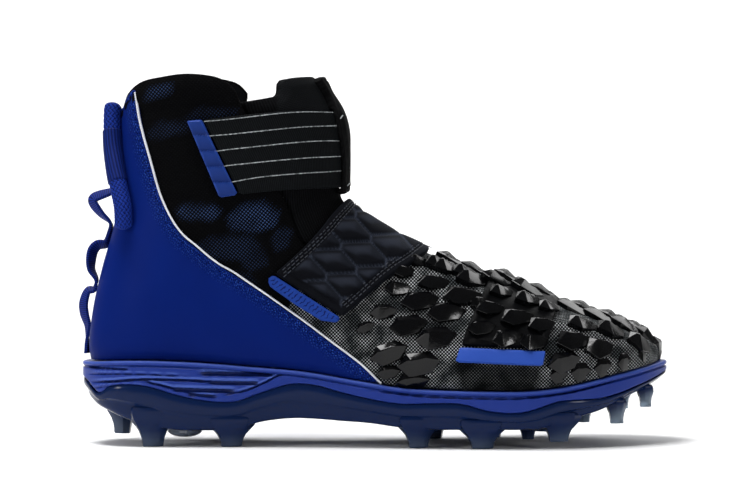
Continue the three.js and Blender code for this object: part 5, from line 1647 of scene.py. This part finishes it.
def loft(rings):
    """Rings joined up, with the first and the last closed by strips across."""
    around = len(rings[0])
    points = np.vstack(rings)
    faces = []
    for level in range(len(rings) - 1):
        for j in range(around):
            k = (j + 1) % around
            a = level * around
            faces.append((a + j, a + k, a + around + k, a + around + j))
    for base, flip in ((0, True), ((len(rings) - 1) * around, False)):
        for j in range(around // 2):
            quad = [base + j, base + j + 1, base + (around - j - 1) % around, base + (around - j) % around]
            quad = [v for n, v in enumerate(quad) if v not in quad[:n]]
            if len(quad) > 2:
                faces.append(tuple(quad[::-1] if flip else quad))
    return points, faces


def groove_depth(x, z):
    """How deep the side of the midsole is cut at a place, from the table of its lines."""
    x, z = np.broadcast_arrays(x, z)
    depth = np.zeros(x.shape)
    for width, amount, *line in SIDE_LINES:
        path = even(spline([[a * LENGTH, b * HEEL] for a, b in line], 8), 1.0)
        near = (x > path[:, 0].min() - 3) & (x < path[:, 0].max() + 3)
        gaps = np.hypot(x[near][:, None] - path[:, 0], z[near][:, None] - path[:, 1])
        share = np.argmin(gaps, axis=1) / (len(path) - 1)
        taper = soft_step(share, 0, 0.15) * (1 - soft_step(share, 0.85, 1))
        cut = 1.7 * amount * taper * soft_step(-gaps.min(1), -0.8 * width, -0.25 * width)
        depth[near] = np.maximum(depth[near], cut)
    return depth


def build_midsole(last, finishes):
    """Foam midsole: rounded rim, step below it, side lines and heel steps."""
    loop = sole_loop()
    x = loop[:, 0]
    bottom = sole_height(2, x)
    rim = sole_height(1, x) - 2.4
    rings, painted_groove_shades, painted_lip_highlights = [], [], []
    levels = [(0.9, 0.0), (0.5, 0.03), (0.2, 0.09)] + [(0.05, s) for s in np.linspace(0.14, 0.9, 34)] + [
        (0.1, 0.94), (0.35, 0.975), (0.8, 1.0)]
    for inset, share in levels:
        z = bottom + (rim - 0.5 - bottom) * share
        side = sole_ring(inset)
        curve = 0.55 * math.sin(share * math.pi) - 0.55
        depth = groove_depth(side[:, 0], z)
        below = groove_depth(side[:, 0], z - 1.3)
        side = sole_ring(np.maximum(inset - curve * 0.6 - 0.3, 0) + depth)
        rings.append(np.stack([side[:, 0], side[:, 1], z], 1))
        # The groove's depth is kept as painted shade for the finish.
        painted_groove_shades.append(np.clip(depth, 0, 1))
        # Painted highlight on the foam just above each groove.
        painted_lip_highlights.append(np.clip(below - depth, 0, 1))
    for inset, share in ((1.0, 0.02), (0.6, 0.1), (0.15, 0.24), (0.0, 0.42), (0.0, 0.62), (0.15, 0.82),
                         (0.5, 0.95),
                         (1.1, 1.0), (2.0, 1.0), (5.0, 0.96)):
        side = sole_ring(inset)
        rings.append(np.stack([side[:, 0], side[:, 1], rim + 2.4 * share], 1))
        # Painted shade under the rim's step, and a painted highlight along the rim's rounded top.
        painted_groove_shades.append(np.full(len(side), 0.7 if share == 0.02 else 0.0))
        painted_lip_highlights.append(np.full(len(side), 0.6 * (0.5 < share < 0.97)))
    points, faces = loft(rings)
    obj = fresh_mesh("midsole", points, faces)
    mark(obj, "cut", np.concatenate(painted_groove_shades))
    mark(obj, "painted_lip_highlight", np.concatenate(painted_lip_highlights))
    weld(obj, 0.02)
    finish_piece(obj, [finishes["foam"]], ("midsole",), 50)


def stud_pattern():
    """One moulded stud, from an eight-sided cylinder: a chisel tip, hollow flanks and a flared root."""
    bpy.ops.object.select_all(action="DESELECT")
    bpy.ops.mesh.primitive_cylinder_add(vertices=8, radius=1.0, depth=0.12, location=(0, 0, 0.06))
    obj = bpy.context.object
    bpy.ops.object.mode_set(mode="EDIT")
    pick_faces(obj, 1)
    for rise, grow in ((0.13, 1.10), (0.17, 1.22), (0.16, 1.32), (0.14, 1.22), (0.12, 1.10), (0.10, 1.03),
                       (0.10, 0.98)):
        bpy.ops.mesh.extrude_region_move(TRANSFORM_OT_translate={"value": (0, 0, rise)})
        bpy.ops.transform.resize(value=(grow, grow, 1))
    bpy.ops.mesh.select_all(action="SELECT")
    bpy.ops.object.mode_set(mode="OBJECT")
    co, faces = take_pattern(obj, 0.10, 2, 60)
    co[:, 2] -= co[:, 2].min()
    return co, faces


def build_plate(last, finishes):
    """Clear plate with its side step, its studs and the lens under the heel."""
    rings = []
    for inset, share in ((14.0, 0.06), (9.0, 0.03), (6.2, 0.0), (4.4, 0.03), (3.3, 0.10), (2.75, 0.22),
                         (2.5, 0.36),
                         (2.25, 0.45), (1.6, 0.50), (0.8, 0.54), (0.45, 0.62), (0.3, 0.74), (0.3, 0.86),
                         (0.45, 0.95), (0.9, 1.0)):
        side = sole_ring(inset)
        xx = np.clip(side[:, 0], 0, LENGTH)
        z = sole_height(3, xx) + (sole_height(2, xx) - GAP - sole_height(3, xx)) * share
        rings.append(np.stack([side[:, 0], side[:, 1], z], 1))
    points, faces = loft(rings)
    plate = fresh_mesh("plate", points, faces)
    weld(plate, 0.05)
    pattern, pattern_faces = stud_pattern()
    parts = []
    for x, side, inset, long, wide, lift in STUDS:
        edge = side * BALL * (float(value_at(OUTLINE, 1 if side < 0 else 2, x)) - inset)
        tip = HEEL * lift
        under = float(sole_height(3, x * LENGTH))
        root = under + 0.5 * (float(sole_height(2, x * LENGTH)) - GAP - under)
        tall = root - tip
        co = pattern.copy()
        co[:, :2] *= 1 - 0.5 * soft_step(x, 0.80, 0.93) * co[:, 2:]
        angle = np.arctan2(co[:, 1], co[:, 0])
        flute = 1 + 0.14 * np.cos(angle * 3 + (0.4 if side < 0 else 0.4 + math.pi)) * (1 - co[:, 2])
        points = np.stack([co[:, 0] * flute * 5.2 * long + x * LENGTH,
                           co[:, 1] * flute * 3.9 * wide + edge,
                           co[:, 2] / pattern[:, 2].max() * tall + tip], 1)
        limit = BALL * value_at(OUTLINE, 1 if side < 0 else 2, np.clip(points[:, 0] / LENGTH, 0, 1)) - 1.3
        points[:, 1] = side * np.minimum(side * points[:, 1], limit)
        points[:, 0] = np.clip(points[:, 0], 5, LENGTH - 5)
        parts.append((points, pattern_faces))
    studs = fresh_mesh("studs", *gather(parts))
    only(plate)
    studs.select_set(True)
    bpy.ops.object.join()
    plate.name = "outsole"
    p = spots_of(plate)
    local = sole_height(3, p[:, 0]) - p[:, 2]
    toe = soft_step(p[:, 0] / LENGTH, 0.8, 1.0)
    thin = np.clip(soft_step(local, 1, 13) * (0.14 + 0.8 * toe), 0, 1)
    mark(plate, "thin", thin)
    finish_piece(plate, [finishes["plate"]], ("outsole",), 32)
    bpy.ops.object.select_all(action="DESELECT")
    bpy.ops.mesh.primitive_cylinder_add(vertices=40, radius=1.0, depth=1.0, location=(0, 0, 0))
    lens = bpy.context.object
    lens.name = "heel_lens"
    bpy.ops.object.mode_set(mode="EDIT")
    pick_faces(lens, -1)
    bpy.ops.mesh.inset(thickness=0.16)
    bpy.ops.transform.translate(value=(0, 0, -0.35))
    for thickness, drop in ((0.22, -0.25), (0.22, -0.12), (0.2, -0.04)):
        bpy.ops.mesh.inset(thickness=thickness)
        bpy.ops.transform.translate(value=(0, 0, drop))
    bpy.ops.object.mode_set(mode="OBJECT")
    lens.scale = (LENGTH * 0.030 * MM, BALL * 0.14 * MM, HEEL * 0.085 * MM)
    z = float(sole_height(3, 0.175 * LENGTH)) - 0.2
    lens.location = tuple((np.array([0.175 * LENGTH, -6.0, z]) + SHIFT) * MM)
    bpy.ops.object.transform_apply(location=True, rotation=True, scale=True)
    finish_piece(lens, [finishes["lens"]], (), 60)


# The stage
def build_stage(brightness):
    """Pale sweep, soft boxes and the camera at the photograph's angle."""
    bpy.ops.object.select_all(action="DESELECT")
    bpy.ops.mesh.primitive_grid_add(x_subdivisions=2, y_subdivisions=40, size=1.0)
    floor = bpy.context.object
    floor.name = "floor"
    co = np.array([v.co[:] for v in floor.data.vertices])
    run = (co[:, 1] + 0.5) * 9.0 - 3.4
    bend_at, radius = 2.6, 1.6
    over = np.clip(run - bend_at, 0, radius * math.pi / 2)
    y = np.where(run < bend_at, run, bend_at + radius * np.sin(over / radius))
    z = np.where(run < bend_at, 0, radius * (1 - np.cos(over / radius))) + np.clip(
        run - bend_at - radius * math.pi / 2, 0, None)
    for v, a, b, c in zip(floor.data.vertices, co[:, 0] * 9.0, y, z):
        v.co = (a, b, c - 0.0001)
    smooth(floor, 60)
    floor.data.materials.append(finish_paper())
    world = bpy.data.worlds.new("studio") if bpy.context.scene.world is None else bpy.context.scene.world
    bpy.context.scene.world = world
    world.use_nodes = True
    back = world.node_tree.nodes.get("Background")
    back.inputs[0].default_value = (1, 1, 1, 1)
    back.inputs[1].default_value = 0.10 * brightness
    for name, place, aim, size, power in LIGHTS:
        data = bpy.data.lights.new(name, "AREA")
        data.shape = "RECTANGLE"
        data.size, data.size_y = size
        data.energy = power * brightness
        lamp = bpy.data.objects.new(name, data)
        lamp.location = place
        lamp.rotation_euler = (Vector(aim) - Vector(place)).to_track_quat("-Z", "Y").to_euler()
        bpy.context.scene.collection.objects.link(lamp)
    lens = bpy.data.cameras.new("camera")
    lens.lens, lens.sensor_width, lens.clip_end = 169.4, 36.0, 50.0
    camera = bpy.data.objects.new("camera", lens)
    camera.location = (-0.0002, -1.8, 0.135)
    aim = Vector((-0.0002, 0.0, 0.0981)) - camera.location
    camera.rotation_euler = aim.to_track_quat("-Z", "Y").to_euler()
    bpy.context.scene.collection.objects.link(camera)
    bpy.context.scene.camera = camera
    bpy.context.scene.view_settings.view_transform = "Standard"
    bpy.context.scene.view_settings.look = "None"
    bpy.context.scene.view_settings.exposure = 0.0


# The add-on
class CleatColours(bpy.types.PropertyGroup):
    """Colours that a user would change, as sRGB hex codes."""

    quarter_blue: bpy.props.StringProperty(name="Quarter", description="Blue of the coated quarter",
                                           default="#07195C")
    sole_blue: bpy.props.StringProperty(name="Midsole", description="Blue of the foam midsole",
                                        default="#1C3384")
    tab_blue: bpy.props.StringProperty(name="Tabs", description="Blue of the strap tabs", default="#18347C")
    rope_blue: bpy.props.StringProperty(name="Pull rope", description="Blue of the braided rope",
                                        default="#122C86")
    cloth_dark: bpy.props.StringProperty(name="Knit", description="Black of the knitted bootie",
                                         default="#040405")


class CleatStage(bpy.types.PropertyGroup):
    """Light on the stage."""

    brightness: bpy.props.FloatProperty(name="Brightness", description="Strength of all the lights",
                                        default=1.0, min=0.1, max=3.0, subtype="FACTOR")


COLOURED = {
    "bootie": finish_bootie, "film": finish_film, "tab": finish_tab, "stitched_tab": finish_stitched_tab,
    "foam": finish_foam, "rope": finish_rope,
}
UNCOLOURED = {
    "lining": finish_lining, "piping": finish_piping, "strap": finish_strap, "quilt": finish_quilt,
    "shroud": finish_shroud, "tongue": finish_tongue, "lugs": finish_lugs, "band": finish_band,
    "plate": finish_plate, "lens": finish_lens, "sleeve": finish_sleeve, "ribbon": finish_ribbon,
}
THREADS = {
    "silver": ("reflective_thread", "#4E5356", "#B4BABD"),
    "dark_thread": ("bonded_nylon_thread", "#14161C", "#343945"),
}
made = []


def ready():
    """The last and the finishes, made once and shared by the operators."""
    if not made:
        colours = bpy.context.scene.cleat_colours
        finishes = {name: finish(colours) for name, finish in COLOURED.items()}
        finishes.update({name: finish() for name, finish in UNCOLOURED.items()})
        finishes.update({name: finish_thread(*row) for name, row in THREADS.items()})
        made.extend((Last(), finishes))
    return made


class Builder:
    """What the operators of the pieces share: each runs the functions of one group."""

    builds = ()

    def execute(self, context):
        for build in self.builds:
            build(*ready())
        return {"FINISHED"}


class CLEAT_OT_upper(Builder, bpy.types.Operator):
    """Makes the knitted bootie, its tongue and its sock liner"""

    bl_idname = "cleat.upper"
    bl_label = "Bootie, tongue and insole"
    builds = (build_upper, build_tongue, build_insole)


class CLEAT_OT_quarter(Builder, bpy.types.Operator):
    """Makes the blue quarter and its piping"""

    bl_idname = "cleat.quarter"
    bl_label = "Quarter and piping"
    builds = (build_quarter,)


class CLEAT_OT_straps(Builder, bpy.types.Operator):
    """Makes the three straps, their tabs and stitching, the front panel and the lugs"""

    bl_idname = "cleat.straps"
    bl_label = "Straps, panel and lugs"
    builds = (build_ankle, build_midfoot, build_forefoot)


class CLEAT_OT_pull(Builder, bpy.types.Operator):
    """Makes the pull rope, its wrap and the heel ribbon"""

    bl_idname = "cleat.pull"
    bl_label = "Rope and ribbon"
    builds = (build_pull,)


class CLEAT_OT_sole(Builder, bpy.types.Operator):
    """Makes the midsole, the plate, its studs and the heel lens"""

    bl_idname = "cleat.sole"
    bl_label = "Midsole and plate"
    builds = (build_midsole, build_plate)


class CLEAT_OT_stage(bpy.types.Operator):
    """Makes the paper sweep, the lights and the camera"""

    bl_idname = "cleat.stage"
    bl_label = "Stage"

    def execute(self, context):
        build_stage(context.scene.cleat_stage.brightness)
        return {"FINISHED"}


OPERATORS = (CLEAT_OT_stage, CLEAT_OT_upper, CLEAT_OT_quarter, CLEAT_OT_straps, CLEAT_OT_pull, CLEAT_OT_sole)


class CLEAT_PT_panel(bpy.types.Panel):
    """Lists the cleat's colours and the operators that make it"""

    bl_label = "Football cleat"
    bl_idname = "CLEAT_PT_panel"
    bl_space_type = "VIEW_3D"
    bl_region_type = "UI"
    bl_category = "Cleat"

    def draw(self, context):
        for name in ("quarter_blue", "sole_blue", "tab_blue", "rope_blue", "cloth_dark"):
            self.layout.prop(context.scene.cleat_colours, name)
        self.layout.prop(context.scene.cleat_stage, "brightness")
        for operator in OPERATORS:
            self.layout.operator(operator.bl_idname)


def register():
    for item in (CleatColours, CleatStage, *OPERATORS, CLEAT_PT_panel):
        bpy.utils.register_class(item)
    bpy.types.Scene.cleat_colours = bpy.props.PointerProperty(type=CleatColours)
    bpy.types.Scene.cleat_stage = bpy.props.PointerProperty(type=CleatStage)


def unregister():
    del bpy.types.Scene.cleat_stage
    del bpy.types.Scene.cleat_colours
    for item in reversed((CleatColours, CleatStage, *OPERATORS, CLEAT_PT_panel)):
        bpy.utils.unregister_class(item)


def main():
    register()
    bpy.ops.cleat.stage()
    bpy.ops.cleat.upper()
    bpy.ops.cleat.quarter()
    bpy.ops.cleat.straps()
    bpy.ops.cleat.pull()
    bpy.ops.cleat.sole()


if __name__ == "__main__":
    main()
